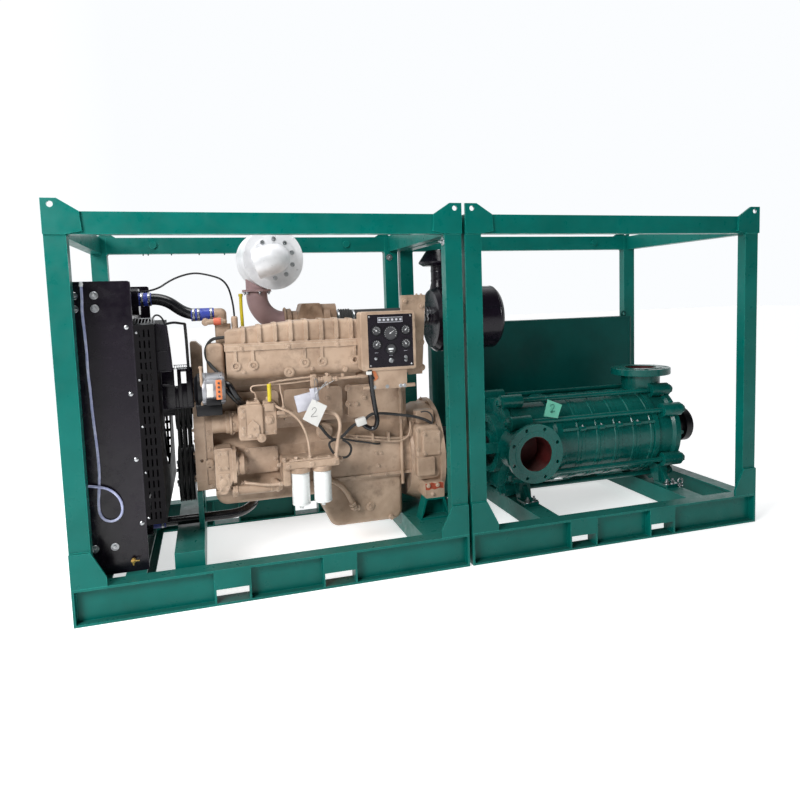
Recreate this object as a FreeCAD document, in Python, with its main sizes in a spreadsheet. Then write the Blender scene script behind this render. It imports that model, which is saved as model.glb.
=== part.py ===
"""Diesel-driven multistage pump set in two welded lifting frames.

Millimetres.  X runs along the set from the radiator to the free end of the pump, Y runs away from
the open service side and Z is up.  The origin is the middle of the footprint at floor level.
"""
import FreeCAD, Part
import math
import os
import re

import Sketcher

Vector = FreeCAD.Vector
EDGE_TEST = 0.01
AXIS_TURNS = {
    "X": FreeCAD.Rotation(Vector(0, 1, 0), 90),
    "Y": FreeCAD.Rotation(Vector(1, 0, 0), -90),
    "Z": FreeCAD.Rotation(),
}

document = FreeCAD.newDocument("PumpSet")
sheet = document.addObject("Spreadsheet::Sheet", "Sizes")
known_sizes = {}
nodes = []


# Driving dimensions and the small kit of shape makers

def write_sizes(values):
    """Write driving dimensions into the sheet, one named cell each; a text is a formula in other sizes."""
    for name, value in values.items():
        known_sizes[name] = value
        cell = "A%d" % len(known_sizes)
        sheet.set(cell, "=" + value if isinstance(value, str) else str(value))
        sheet.setAlias(cell, name)
    sheet.recompute()


def tied(text):
    """Turn a formula in size names into one that reads the sheet."""
    return re.sub(r"[a-z][a-z0-9_]*",
            lambda m: "Sizes." + m.group() if m.group() in known_sizes else m.group(), text)


def size(name):
    """Read one driving dimension as a number."""
    value = known_sizes[name]
    return float(getattr(sheet, name)) if isinstance(value, str) else value


def bind(thing, **formulas):
    """Bind properties of an object to formulas."""
    for prop, formula in formulas.items():
        thing.setExpression(prop, tied(formula))


def put(thing, at, turn=None):
    """Place an object at three formulas, turned first."""
    if turn is not None:
        thing.Placement = FreeCAD.Placement(Vector(), turn)
    for axis, formula in zip("xyz", at):
        thing.setExpression("Placement.Base." + axis, tied(formula))
    return thing


def box(name, size, at):
    """Make a block from its lowest corner."""
    block = document.addObject("Part::Box", name)
    bind(block, Length=size[0], Width=size[1], Height=size[2])
    return put(block, at)


def rod(name, axis, radius, length, at):
    """Make a cylinder that starts at a point and runs along an axis."""
    bar = document.addObject("Part::Cylinder", name)
    bind(bar, Radius=radius, Height=length)
    return put(bar, at, AXIS_TURNS[axis])


def cone(name, axis, radius_from, radius_to, length, at):
    """Make a tapered round piece along an axis."""
    taper = document.addObject("Part::Cone", name)
    bind(taper, Radius1=radius_from, Radius2=radius_to, Height=length)
    return put(taper, at, AXIS_TURNS[axis])


def fused(name, pieces):
    """Join pieces into one solid or one set of solids."""
    union = document.addObject("Part::MultiFuse", name)
    union.Shapes = pieces
    union.Refine = True
    return union


def trimmed(name, base, tools):
    """Cut tools out of a piece."""
    tool = tools[0] if len(tools) == 1 else fused(name + "_tools", tools)
    result = document.addObject("Part::Cut", name)
    result.Base = base
    result.Tool = tool
    result.Refine = True
    return result


def shared(name, first, second):
    """Keep what two pieces share."""
    result = document.addObject("Part::Common", name)
    result.Base = first
    result.Tool = second
    return result


def outline(body, plane, points):
    """Sketch a closed outline whose corners are formulas."""
    sketch = body.newObject("Sketcher::SketchObject", body.Name + "_outline")
    origin_plane = [item for item in body.Origin.OriginFeatures if item.Role == plane + "_Plane"][0]
    sketch.AttachmentSupport = [(origin_plane, "")]
    sketch.MapMode = "FlatFace"
    count = len(points)
    start = [FreeCAD.Rotation(Vector(0, 0, 1), 360 * i / count).multVec(Vector(100, 0,
            0)) for i in range(count)]
    for i in range(count):
        sketch.addGeometry(Part.LineSegment(start[i], start[(i + 1) % count]), False)
    for i in range(count):
        sketch.addConstraint(Sketcher.Constraint("Coincident", i, 2, (i + 1) % count, 1))
    for i, (across, along) in enumerate(points):
        for kind, value, formula in (("DistanceX", start[i].x, across), ("DistanceY", start[i].y, along)):
            row = sketch.addConstraint(Sketcher.Constraint(kind, -1, 1, i, 1, value))
            sketch.setExpression("Constraints[%d]" % row, tied(formula))
    return sketch


def plate(name, plane, points, length, at, reverse=False, middle=False):
    """Make a body from an outline given a thickness square to its plane."""
    body = document.addObject("PartDesign::Body", name)
    sketch = outline(body, plane, points)
    pad = body.newObject("PartDesign::Pad", name + "_pad")
    pad.Profile = sketch
    pad.Reversed = reverse
    pad.SideType = "Symmetric" if middle else "One side"
    bind(pad, Length=length)
    return put(body, at)


def turned(name, axis, points, at):
    """Make a round body from an outline of radius against height."""
    body = document.addObject("PartDesign::Body", name)
    sketch = outline(body, "XZ", points)
    turn = body.newObject("PartDesign::Revolution", name + "_turn")
    turn.Profile = sketch
    turn.ReferenceAxis = (sketch, ["V_Axis"])
    turn.Angle = 360
    return put(body, at, AXIS_TURNS[axis])


def softened(body, radius, picked):
    """Round the edges of a body that a test on their box and the body's own box picks."""
    body.recompute(True)
    base = body.Tip
    whole = base.Shape.BoundBox
    names = ["Edge%d" % number for number, edge in enumerate(base.Shape.Edges, 1) if picked(edge.BoundBox,
            whole)]
    rounding = body.newObject("PartDesign::Fillet", body.Name + "_rounding")
    rounding.Base = (base, names)
    bind(rounding, Radius=radius)
    return body


def corner_edges(axis):
    """Give the test that picks the straight edges along one axis."""
    def picked(edge, whole):
        spans = {"X": edge.XLength, "Y": edge.YLength, "Z": edge.ZLength}
        return spans.pop(axis) > 1 and max(spans.values()) < EDGE_TEST
    return picked


def rounded_block(name, axis, size_of, at, radius, face_radius=None):
    """Block whose corners along one axis are round, and whose first face may be round as well."""
    plane = {"X": "YZ", "Y": "XZ", "Z": "XY"}[axis]
    across, along, depth = {"X": (1, 2, 0), "Y": (0, 2, 1), "Z": (0, 1, 2)}[axis]
    wide, high = size_of[across], size_of[along]
    block = plate(name, plane, [("0", "0"), (wide, "0"), (wide, high), ("0", high)], size_of[depth], at,
                  reverse=axis == "Y")
    softened(block, radius, corner_edges(axis))
    if face_radius is not None:
        low = {"X": "XMax", "Y": "YMax", "Z": "ZMax"}[axis]
        softened(block, face_radius, lambda edge, whole: getattr(edge, low) < EDGE_TEST)
    return block


def hub(name, axis, start, steps):
    """Round body along an axis from pairs of radius and distance from its start."""
    return turned(name, axis, [("0", steps[0][1])] + steps + [("0", steps[-1][1])], start)


def node(name, thing):
    """Name a finished sub-part."""
    thing.Label = name
    nodes.append(thing)
    return thing


# Frames

FRAME_SIZES = {
    "engine_frame_length": 1860, "pump_frame_length": 1811, "frame_gap": 19, "frame_depth": 1268,
    "base_height": 170, "flange_width": 90, "flange_thick": 10, "web_thick": 8, "end_plate": 10,
    "beam_top": 1800, "beam_height": 95, "beam_depth": 60, "post_width": 87, "post_depth": 60,
    "plate_thick": 12, "lug_top": 1853, "lug_flat": 62, "lug_slope": 144, "lug_reach": 150,
    "lug_foot": 1717, "lug_bore": 26, "lug_bore_inset": 36, "lug_bore_height": 1828, "gusset_top": 328,
    "gusset_knee": 210, "gusset_reach": 146, "pocket_offset": 253, "pocket_width": 150,
    "pocket_height": 66, "pocket_wall": 8, "beam_boss_inset": 345, "beam_boss_radius": 20,
    "beam_boss_proud": 14, "beam_boss_z": 1755,
}
write_sizes(FRAME_SIZES)
SET_LENGTH = "(engine_frame_length + frame_gap + pump_frame_length)"
ENGINE_LEFT = "(-%s / 2)" % SET_LENGTH
PUMP_LEFT = "(%s / 2 - pump_frame_length)" % SET_LENGTH
FRONT = "(-frame_depth / 2)"
INNER_DEPTH = "(frame_depth - 2 * flange_width)"


def beam_section():
    """Corners of the rolled beam section, centred on its web, standing on the floor."""
    half, web, foot, top = "flange_width / 2", "web_thick / 2", "flange_thick", "base_height"
    right = [(half, "0"), (half, foot), (web, foot), (web, top + " - " + foot), (half, top + " - " + foot),
             (half, top)]
    return right + [("-" + across, along) for across, along in reversed(right)]


def side_rail(frame, side, left, length):
    """Long base rail with end plates and two fork pockets."""
    name = "%s_%s_rail" % (frame, side)
    sign = "-" if side == "front" else ""
    centre = "(%s(frame_depth - flange_width) / 2)" % sign
    near_edge = "(%s - flange_width / 2)" % centre
    beam = plate(name + "_beam", "YZ", beam_section(), length, (left, centre, "0"))
    pieces, windows = [beam], []
    for end, start in enumerate((left, "%s + %s - end_plate" % (left, length))):
        pieces.append(box("%s_end_%d" % (name, end), ("end_plate", "flange_width", "base_height"),
                          (start, near_edge, "0")))
    for number, hand in enumerate(("-", "+")):
        middle = "(%s + %s / 2 %s pocket_offset)" % (left, length, hand)
        start = "%s - pocket_width / 2" % middle
        for wall, shift in enumerate((" - pocket_wall", " + pocket_width")):
            pieces.append(box("%s_stiffener_%d_%d" % (name, number, wall),
                              ("pocket_wall", "flange_width", "base_height - 2 * flange_thick"),
                              (start + shift, near_edge, "flange_thick")))
        cover_y = near_edge if side == "front" else "%s + flange_width - pocket_wall" % near_edge
        pieces.append(box("%s_cover_%d" % (name, number),
                          ("pocket_width", "pocket_wall", "base_height - 2 * flange_thick - pocket_height"),
                          (start, cover_y, "flange_thick + pocket_height")))
        windows.append(box("%s_window_%d" % (name, number),
                ("pocket_width", "flange_width", "pocket_height"),
                           (start, near_edge, "flange_thick")))
    node(name, trimmed(name, fused(name + "_welded", pieces), windows))


def cross_beam(name, centre):
    """Rolled beam that runs front to back between the rails, centred at a length along the set."""
    return plate(name, "XZ", beam_section(), INNER_DEPTH, (centre, "-%s / 2" % INNER_DEPTH, "0"),
            reverse=True)


def corner_plates(name, end, hand, y):
    """Lifting lug and foot gusset of one corner, seen square to the side."""
    def across(text):
        return "%s(%s)" % (hand, text)
    lug = plate(name + "_lug", "XZ", [
        ("0", "lug_foot - plate_thick"), (across("post_width"), "lug_foot - plate_thick"),
        (across("lug_reach"), "lug_foot"), (across("lug_slope"), "beam_top"),
        (across("lug_flat"), "lug_top"),
        ("0", "lug_top")], "plate_thick", (end, y, "0"), reverse=True)
    bore = rod(name + "_lug_bore", "Y", "lug_bore / 2", "plate_thick",
               ("%s + %s" % (end, across("lug_bore_inset")), y, "lug_bore_height"))
    gusset = plate(name + "_gusset", "XZ", [
        ("0", "base_height"), (across("gusset_reach"), "base_height"),
                (across("gusset_reach"), "gusset_knee"),
        (across("post_width"), "gusset_top"), ("0", "gusset_top")], "plate_thick", (end, y, "0"),
        reverse=True)
    return [trimmed(name + "_lug_plate", lug, [bore]), gusset]


def corner_posts(frame, side, left, length):
    """Front and rear posts of one end, each with its lug and gusset."""
    name = "%s_%s_posts" % (frame, side)
    hand = "" if side == "left" else "-"
    end = left if side == "left" else "(%s + %s)" % (left, length)
    start = end if side == "left" else "%s - post_width" % end
    posts = []
    for row, plate_y, post_y in (
            ("front", FRONT, "%s + plate_thick" % FRONT),
            ("rear", "frame_depth / 2 - plate_thick", "frame_depth / 2 - plate_thick - post_depth")):
        post = box("%s_%s" % (name, row), ("post_width", "post_depth", "beam_top - base_height"),
                   (start, post_y, "base_height"))
        posts.append(fused("%s_%s_corner" % (name, row),
                           [post] + corner_plates("%s_%s" % (name, row), end, hand, plate_y)))
    node(name, fused(name, posts))


def top_rails(frame, left, length):
    """Four top beams that butt between the posts, with one boss inside the rear beam."""
    name = frame + "_top_rails"
    low = "beam_top - beam_height"
    beams = []
    for row, y in (("front", "%s + plate_thick" % FRONT),
            ("rear", "frame_depth / 2 - plate_thick - beam_depth")):
        beams.append(box("%s_%s" % (name, row), (length + " - 2 * post_width", "beam_depth", "beam_height"),
                         (left + " + post_width", y, low)))
    for row, x in (("left", left), ("right", "%s + %s - beam_depth" % (left, length))):
        beams.append(box("%s_%s" % (name, row),
                         ("beam_depth", "frame_depth - 2 * plate_thick - 2 * post_depth", "beam_height"),
                         (x, "%s + plate_thick + post_depth" % FRONT, low)))
    for end, x in (("left", "%s + beam_boss_inset" % left),
            ("right", "%s + %s - beam_boss_inset" % (left, length))):
        beams.append(rod("%s_boss_%s" % (name, end), "Y", "beam_boss_radius", "beam_boss_proud",
                         (x, "frame_depth / 2 - plate_thick - beam_depth - beam_boss_proud",
                         "beam_boss_z")))
    node(name, fused(name, beams))


def frame(name, left, length, inner_beams):
    """One lifting frame."""
    side_rail(name, "front", left, length)
    side_rail(name, "rear", left, length)
    ends = [cross_beam(name + "_left_end", left + " + flange_width / 2"),
            cross_beam(name + "_right_end", "%s + %s - flange_width / 2" % (left, length))]
    node(name + "_cross_beams", fused(name + "_cross_beams", ends + inner_beams))
    corner_posts(name, "left", left, length)
    corner_posts(name, "right", left, length)
    top_rails(name, left, length)


BEAM_SIZES = {
    "support_inset": 425, "support_width": 135, "support_top": 243, "support_low": 60,
    "mount_beam_inset": 226, "mount_beam_width": 136, "radiator_beam_inset": 255, "pump_foot_inset": 491,
    "pump_foot_span": 960, "pump_beam_width": 115, "pump_beam_height": 100,
}
write_sizes(BEAM_SIZES)


def between_rails(name, width, low, top, start):
    """Plain box beam between the rails."""
    return box(name, (width, INNER_DEPTH, "(%s) - (%s)" % (top, low)),
            (start, "-%s / 2" % INNER_DEPTH, low))


frame("engine_frame", ENGINE_LEFT, "engine_frame_length", [
    between_rails("front_support_beam", "support_width", "support_low", "support_top",
                  ENGINE_LEFT + " + support_inset"),
    between_rails("rear_support_beam", "mount_beam_width", "support_low", "base_height",
                  ENGINE_LEFT + " + engine_frame_length - mount_beam_inset"),
    cross_beam("radiator_beam", ENGINE_LEFT + " + radiator_beam_inset"),
])
SUCTION_X = "(%s + pump_foot_inset)" % PUMP_LEFT
DISCHARGE_X = "(%s + pump_foot_inset + pump_foot_span)" % PUMP_LEFT
frame("pump_frame", PUMP_LEFT, "pump_frame_length", [
    between_rails("suction_foot_beam", "pump_beam_width", "base_height - pump_beam_height", "base_height",
                  SUCTION_X + " - pump_beam_width / 2"),
    between_rails("discharge_foot_beam", "pump_beam_width", "base_height - pump_beam_height", "base_height",
                  DISCHARGE_X + " - pump_beam_width / 2"),
])


# Pump

PUMP_SIZES = {
    "shaft_height": 490, "casing_radius": 268, "stage_length": 128, "stage_count": 5,
    "stage_start": 737, "joint_groove": 4, "suction_casing_length": 341, "suction_casing_radius": 276,
    "suction_flange_face": 395, "suction_flange_radius": 170, "suction_flange_thick": 28,
    "suction_bore_radius": 100, "suction_neck_radius": 128, "suction_neck_root": 190,
    "suction_bore_depth": 185, "suction_bolt_circle": 295, "suction_bolt_bore": 22, "flange_bolts": 8,
    "discharge_casing_length": 190, "discharge_casing_radius": 276, "discharge_flange_top": 893,
    "discharge_flange_radius": 188, "discharge_flange_thick": 42, "discharge_bore_radius": 98,
    "discharge_neck_radius": 122, "discharge_bolt_circle": 320, "discharge_bolt_bore": 30,
    "discharge_bore_depth": 130, "discharge_neck_root": 185, "discharge_branch_inset": 87,
    "tie_circle": 297, "tie_radius": 15, "tie_low_angle": 32, "tie_high_angle": 64,
    "tie_clearance": 0.5, "seat_gap": 0.3, "ear_radius": 42, "ear_length": 130, "nut_radius": 29,
    "nut_length": 26, "foot_spread": 345, "foot_inner": 215, "foot_pad": 22, "foot_length": 88,
    "foot_shoulder": 300, "foot_waist": 140, "bracket_ring_radius": 179, "bracket_ring_bore": 135,
    "bracket_ring_length": 42, "bracket_length": 150, "bearing_radius": 88, "bearing_length": 110,
    "arm_width": 60, "arm_thick": 26, "shaft_radius": 38, "end_housing_radius": 156,
    "end_housing_length": 110, "end_barrel_radius": 84, "end_barrel_length": 70,
    "end_cover_radius": 112, "end_cover_length": 55, "tank_left": 166, "tank_right": 100,
    "tank_clearance": 74, "tank_depth": 120,
    "tank_rear": "frame_depth / 2 - tank_clearance", "tank_front": "tank_rear - tank_depth",
    "tank_top": 1215, "suction_neck_flare": 142,
    "discharge_neck_flare": 145, "discharge_neck_slope": 70, "stage_band": 22, "casing_rim": 34,
    "casing_waist": 16, "ledge_height": 92, "ledge_thick": 14, "ledge_reach": 270, "lug_radius": 15,
    "lug_half": 18, "foot_web": 24, "foot_leg": 45, "tie_end": 10, "seat_bevel": 3, "end_rim": 24,
    "end_step": 14, "tank_corner": 28, "tank_eye": 22, "tank_eye_inset": 36, "branch_overhang": 60,
}
write_sizes(PUMP_SIZES)
STAGE_X = "(%s + stage_start)" % PUMP_LEFT
STAGE_END = "(%s + stage_count * stage_length)" % STAGE_X
TIE_SPOTS = [(hand, turn) for hand in ("-", "") for turn in (
    "tie_high_angle", "tie_low_angle", "-tie_low_angle", "-tie_high_angle")]


def tie_spot(hand, angle):
    """Place of one tie rod round the shaft."""
    return "%stie_circle * cos(%s)" % (hand, angle), "shaft_height + tie_circle * sin(%s)" % angle


def ears(name, start, length, bore=False):
    """Round bosses that carry the tie rods, or the bores through them."""
    radius = "tie_radius + tie_clearance" if bore else "ear_radius"
    return [rod("%s_%d" % (name, i), "X", radius, length, (start,) + tie_spot(*spot))
            for i, spot in enumerate(TIE_SPOTS)]


def feet(name, start):
    """Pair of spread feet with flat pads and a stiffening web in the middle."""
    result = []
    for side, hand in (("front", "-"), ("rear", "")):
        web = [(hand + "foot_inner", "base_height"), (hand + "foot_spread", "base_height"),
               (hand + "foot_spread", "base_height + foot_pad"),
               (hand + "(foot_spread - foot_pad)", "base_height + foot_pad"),
               (hand + "foot_inner", "foot_shoulder"), (hand + "foot_waist", "foot_shoulder")]
        result.append(plate("%s_%s_web" % (name, side), "YZ", web, "foot_web",
                            ("%s - foot_web / 2" % start, "0", "0")))
        heel = "-foot_spread" if side == "front" else "foot_inner"
        result.append(rounded_block("%s_%s_pad" % (name, side), "Z", (
            "foot_length", "foot_spread - foot_inner", "foot_pad"),
            ("%s - foot_length / 2" % start, heel, "base_height"), "foot_pad / 2"))
        result.append(plate("%s_%s_leg" % (name, side), "YZ", [
            (hand + "foot_inner", "base_height"), (hand + "(foot_inner + foot_leg)", "base_height"),
            (hand + "(foot_inner + foot_leg / 2)", "foot_shoulder"),
            (hand + "foot_waist", "foot_shoulder")],
            "foot_length * 0.8", ("%s - foot_length * 0.4" % start, "0", "0")))
    return result


def flange_bores(name, axis, circle, bore, length, centre):
    """Bolt bores of a flange, set off the centre lines."""
    bores = []
    for i in range(size("flange_bolts")):
        angle = "(%d + 0.5) * 360 / flange_bolts" % i
        x = "%s + %s / 2 * cos(%s)" % (centre[0], circle, angle)
        if axis == "Y":
            at = (x, centre[1], "%s + %s / 2 * sin(%s)" % (centre[2], circle, angle))
        else:
            at = (x, "%s + %s / 2 * sin(%s)" % (centre[1], circle, angle), centre[2])
        bores.append(rod("%s_%d" % (name, i), axis, bore + " / 2", length, at))
    return bores


def end_casing(name, length, radius, start):
    """Round end casing with a rim at each end and a waist between."""
    waist = radius + " - casing_waist"
    return hub(name, "X", (start, "0", "shaft_height"), [
        (radius, "0"), (radius, "casing_rim"), (waist, "casing_rim + casing_waist"),
        (waist, length + " - casing_rim - casing_waist"), (radius, length + " - casing_rim"),
        (radius, length)])


def suction_casing():
    """Suction casing with its side flange and feet."""
    start = STAGE_X + " - suction_casing_length"
    face = "-suction_flange_face"
    drum = end_casing("suction_drum", "suction_casing_length", "suction_casing_radius", start)
    reach = "(suction_flange_face - suction_neck_root)"
    neck = cone("suction_neck", "Y", "suction_neck_radius", "suction_neck_flare", reach,
                (SUCTION_X, face, "shaft_height"))
    flange = rod("suction_flange", "Y", "suction_flange_radius", "suction_flange_thick",
                 (SUCTION_X, face, "shaft_height"))
    casting = fused("suction_casting", [drum, neck, flange] + ears("suction_ear", start, "ear_length")
                    + feet("suction_foot", SUCTION_X))
    bore = rod("suction_bore", "Y", "suction_bore_radius", "suction_bore_depth",
            (SUCTION_X, face, "shaft_height"))
    node("suction_casing", trimmed("suction_casing", casting, [bore] + ears(
        "suction_ear_bore", start, "suction_casing_length", bore=True) + flange_bores(
        "suction_bolt", "Y", "suction_bolt_circle", "suction_bolt_bore", "suction_flange_thick",
        (SUCTION_X, face, "shaft_height"))))


def stage_casings():
    """Row of ring casings with a shallow joint between each pair and a ledge of lugs along the front."""
    body = turned("stage_ring", "X", [
        ("0", "0"), ("casing_radius", "0"), ("casing_radius", "stage_band"),
        ("casing_radius - joint_groove", "stage_band + joint_groove"),
        ("casing_radius - joint_groove", "stage_length - stage_band - joint_groove"),
        ("casing_radius", "stage_length - stage_band"),
        ("casing_radius", "stage_length - joint_groove"),
        ("casing_radius - joint_groove", "stage_length - joint_groove / 2"),
        ("casing_radius - joint_groove", "stage_length"), ("0", "stage_length")],
        (STAGE_X, "0", "shaft_height"))
    ring = body.Tip
    row = body.newObject("PartDesign::LinearPattern", "stage_row")
    row.Originals = [ring]
    row.Direction = (ring.Profile[0], ["V_Axis"])
    bind(row, Length="stage_length * (stage_count - 1)", Occurrences="stage_count")
    body.Tip = row
    ledge_z = "shaft_height + ledge_height"
    ledge = box("stage_ledge", ("stage_count * stage_length", "casing_radius * 0.2", "ledge_thick"),
                (STAGE_X, "-ledge_reach", ledge_z + " - ledge_thick / 2"))
    lugs = [rod("stage_lug_%d" % i, "X", "lug_radius", "2 * lug_half",
                ("%s + %d * stage_length - lug_half" % (STAGE_X, i), "-ledge_reach", ledge_z))
            for i in range(1, size("stage_count"))]
    node("stage_casings", fused("stage_casings", [body, ledge] + lugs))


def discharge_casing():
    """Discharge casing with its upright flange and feet."""
    drum = end_casing("discharge_drum", "discharge_casing_length", "discharge_casing_radius", STAGE_END)
    base = "(discharge_flange_top - discharge_flange_thick)"
    branch_x = "%s + discharge_branch_inset" % STAGE_END
    neck = hub("discharge_neck", "Z", (branch_x, "0", "shaft_height + discharge_neck_root"), [
        ("discharge_neck_flare", "0"), ("discharge_neck_radius", "discharge_neck_slope"),
        ("discharge_neck_radius", base + " - shaft_height - discharge_neck_root")])
    flange = hub("discharge_flange", "Z", (branch_x, "0", base), [
        ("discharge_flange_radius - seat_bevel", "0"), ("discharge_flange_radius", "seat_bevel"),
        ("discharge_flange_radius", "discharge_flange_thick - seat_bevel"),
        ("discharge_flange_radius - seat_bevel", "discharge_flange_thick")])
    casting = fused("discharge_casting", [drum, neck, flange] + ears(
        "discharge_ear", "%s + discharge_casing_length - ear_length" % STAGE_END, "ear_length")
        + feet("discharge_foot", DISCHARGE_X))
    bore = rod("discharge_bore", "Z", "discharge_bore_radius", "discharge_bore_depth",
               (branch_x, "0", "discharge_flange_top - discharge_bore_depth"))
    overhang = "%s - branch_overhang" % STAGE_END
    stage_room = rod("discharge_stage_room", "X", "casing_radius + seat_gap", "branch_overhang",
                     (overhang, "0", "shaft_height"))
    rod_rooms = ears("discharge_ear_bore", overhang, "branch_overhang + discharge_casing_length", bore=True)
    node("discharge_casing", trimmed("discharge_casing", casting,
            [bore, stage_room] + rod_rooms + flange_bores(
        "discharge_bolt", "Z", "discharge_bolt_circle", "discharge_bolt_bore", "discharge_flange_thick",
        (branch_x, "0", base))))


def tie_rods():
    """Eight long rods with a six-sided nut at each end."""
    start = STAGE_X + " - suction_casing_length"
    length = "(suction_casing_length + stage_count * stage_length + discharge_casing_length)"
    rods = []
    for i, spot in enumerate(TIE_SPOTS):
        y, z = tie_spot(*spot)
        pieces = [rod("tie_bar_%d" % i, "X", "tie_radius", length + " + 2 * nut_length + 2 * tie_end",
                      (start + " - nut_length - tie_end", y, z))]
        for end, nut_x in (("first", start + " - nut_length"), ("last", "%s + %s" % (start, length))):
            nut = document.addObject("Part::Prism", "tie_nut_%s_%d" % (end, i))
            nut.Polygon = 6
            bind(nut, Circumradius="nut_radius", Height="nut_length")
            pieces.append(put(nut, (nut_x, y, z), AXIS_TURNS["X"]))
        rods.append(fused("tie_rod_%d" % i, pieces))
    node("tie_rods", fused("tie_rods", rods))


def drive_end_bracket():
    """Open bracket that carries the drive-end bearing."""
    ring_x = STAGE_X + " - suction_casing_length - bracket_ring_length"
    back_x = "(%s - bracket_length)" % ring_x
    ring = rod("bracket_ring", "X", "bracket_ring_radius", "bracket_ring_length",
            (ring_x, "0", "shaft_height"))
    window = rod("bracket_window", "X", "bracket_ring_bore", "bracket_ring_length",
            (ring_x, "0", "shaft_height"))
    barrel = rod("bracket_barrel", "X", "bearing_radius", "bearing_length",
                 (back_x + " - bearing_length + arm_thick", "0", "shaft_height"))
    disc = rod("bracket_disc", "X", "bracket_ring_bore + arm_thick", "arm_thick",
            (back_x, "0", "shaft_height"))
    arms = []
    for i, (y, z) in enumerate((("-bracket_ring_bore - arm_thick", "shaft_height - arm_width / 2"),
                                ("bracket_ring_bore", "shaft_height - arm_width / 2"))):
        arms.append(box("bracket_arm_%d" % i, ("bracket_length + arm_thick", "arm_thick", "arm_width"),
                        (back_x, y, z)))
    arms.append(box("bracket_floor", ("bracket_length + arm_thick", "arm_width * 2", "arm_thick"),
                    (back_x, "-arm_width", "shaft_height - bracket_ring_bore - arm_thick * 0.9")))
    shell = trimmed("bracket_hoop", ring, [window])
    gland = rod("bracket_gland", "X", "shaft_radius + 36", "bracket_ring_length",
                (ring_x, "0", "shaft_height"))
    bore = rod("bracket_bore", "X", "shaft_radius + 5", SET_LENGTH, (ENGINE_LEFT, "0", "shaft_height"))
    node("drive_end_bracket", trimmed("drive_end_bracket",
            fused("bracket_casting", [shell, barrel, disc] + arms),
                                      [bore]))
    node("shaft_gland", trimmed("shaft_gland", gland, [rod("gland_bore", "X", "shaft_radius + 5",
                                                           "bracket_ring_length",
                                                           (ring_x, "0", "shaft_height"))]))


def free_end_bearing():
    """Free-end bearing housing, a tapered barrel between two round flanges."""
    start = "%s + discharge_casing_length" % STAGE_END
    barrel = "end_housing_length + end_barrel_length"
    node("free_end_bearing", hub("free_end_bearing", "X", (start, "0", "shaft_height"), [
        ("end_housing_radius", "0"), ("end_housing_radius", "end_rim"),
        ("end_housing_radius - end_step", "end_rim + seat_bevel"),
        ("end_barrel_radius", "end_housing_length"),
        ("end_barrel_radius", barrel), ("end_cover_radius", barrel),
        ("end_cover_radius", barrel + " + end_cover_length - end_step / 2"),
        ("end_cover_radius - end_step / 2", barrel + " + end_cover_length")]))


def fuel_tank():
    """Upright fuel tank along the rear of the pump frame, with a lifting eye at its free end."""
    shell = rounded_block("tank_shell", "Z", (
        "pump_frame_length - tank_left - tank_right", "tank_rear - tank_front", "tank_top - base_height"),
        (PUMP_LEFT + " + tank_left", "tank_front", "base_height"), "tank_corner")
    eye_x = "(%s + pump_frame_length - tank_right - tank_eye_inset)" % PUMP_LEFT
    eye = rounded_block("tank_eye", "Y", ("2 * tank_eye", "plate_thick", "2 * tank_eye"), (
        eye_x + " - tank_eye", "(tank_front + tank_rear - plate_thick) / 2", "tank_top - tank_eye * 0.2"),
        "tank_eye * 0.9")
    hole = rod("tank_eye_bore", "Y", "tank_eye / 2", "plate_thick", (
        eye_x, "(tank_front + tank_rear - plate_thick) / 2", "tank_top + tank_eye * 0.8"))
    node("fuel_tank", fused("fuel_tank", [shell, trimmed("tank_eye_plate", eye, [hole])]))


suction_casing()
stage_casings()
discharge_casing()
tie_rods()
drive_end_bracket()
free_end_bearing()
fuel_tank()


# Engine

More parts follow.
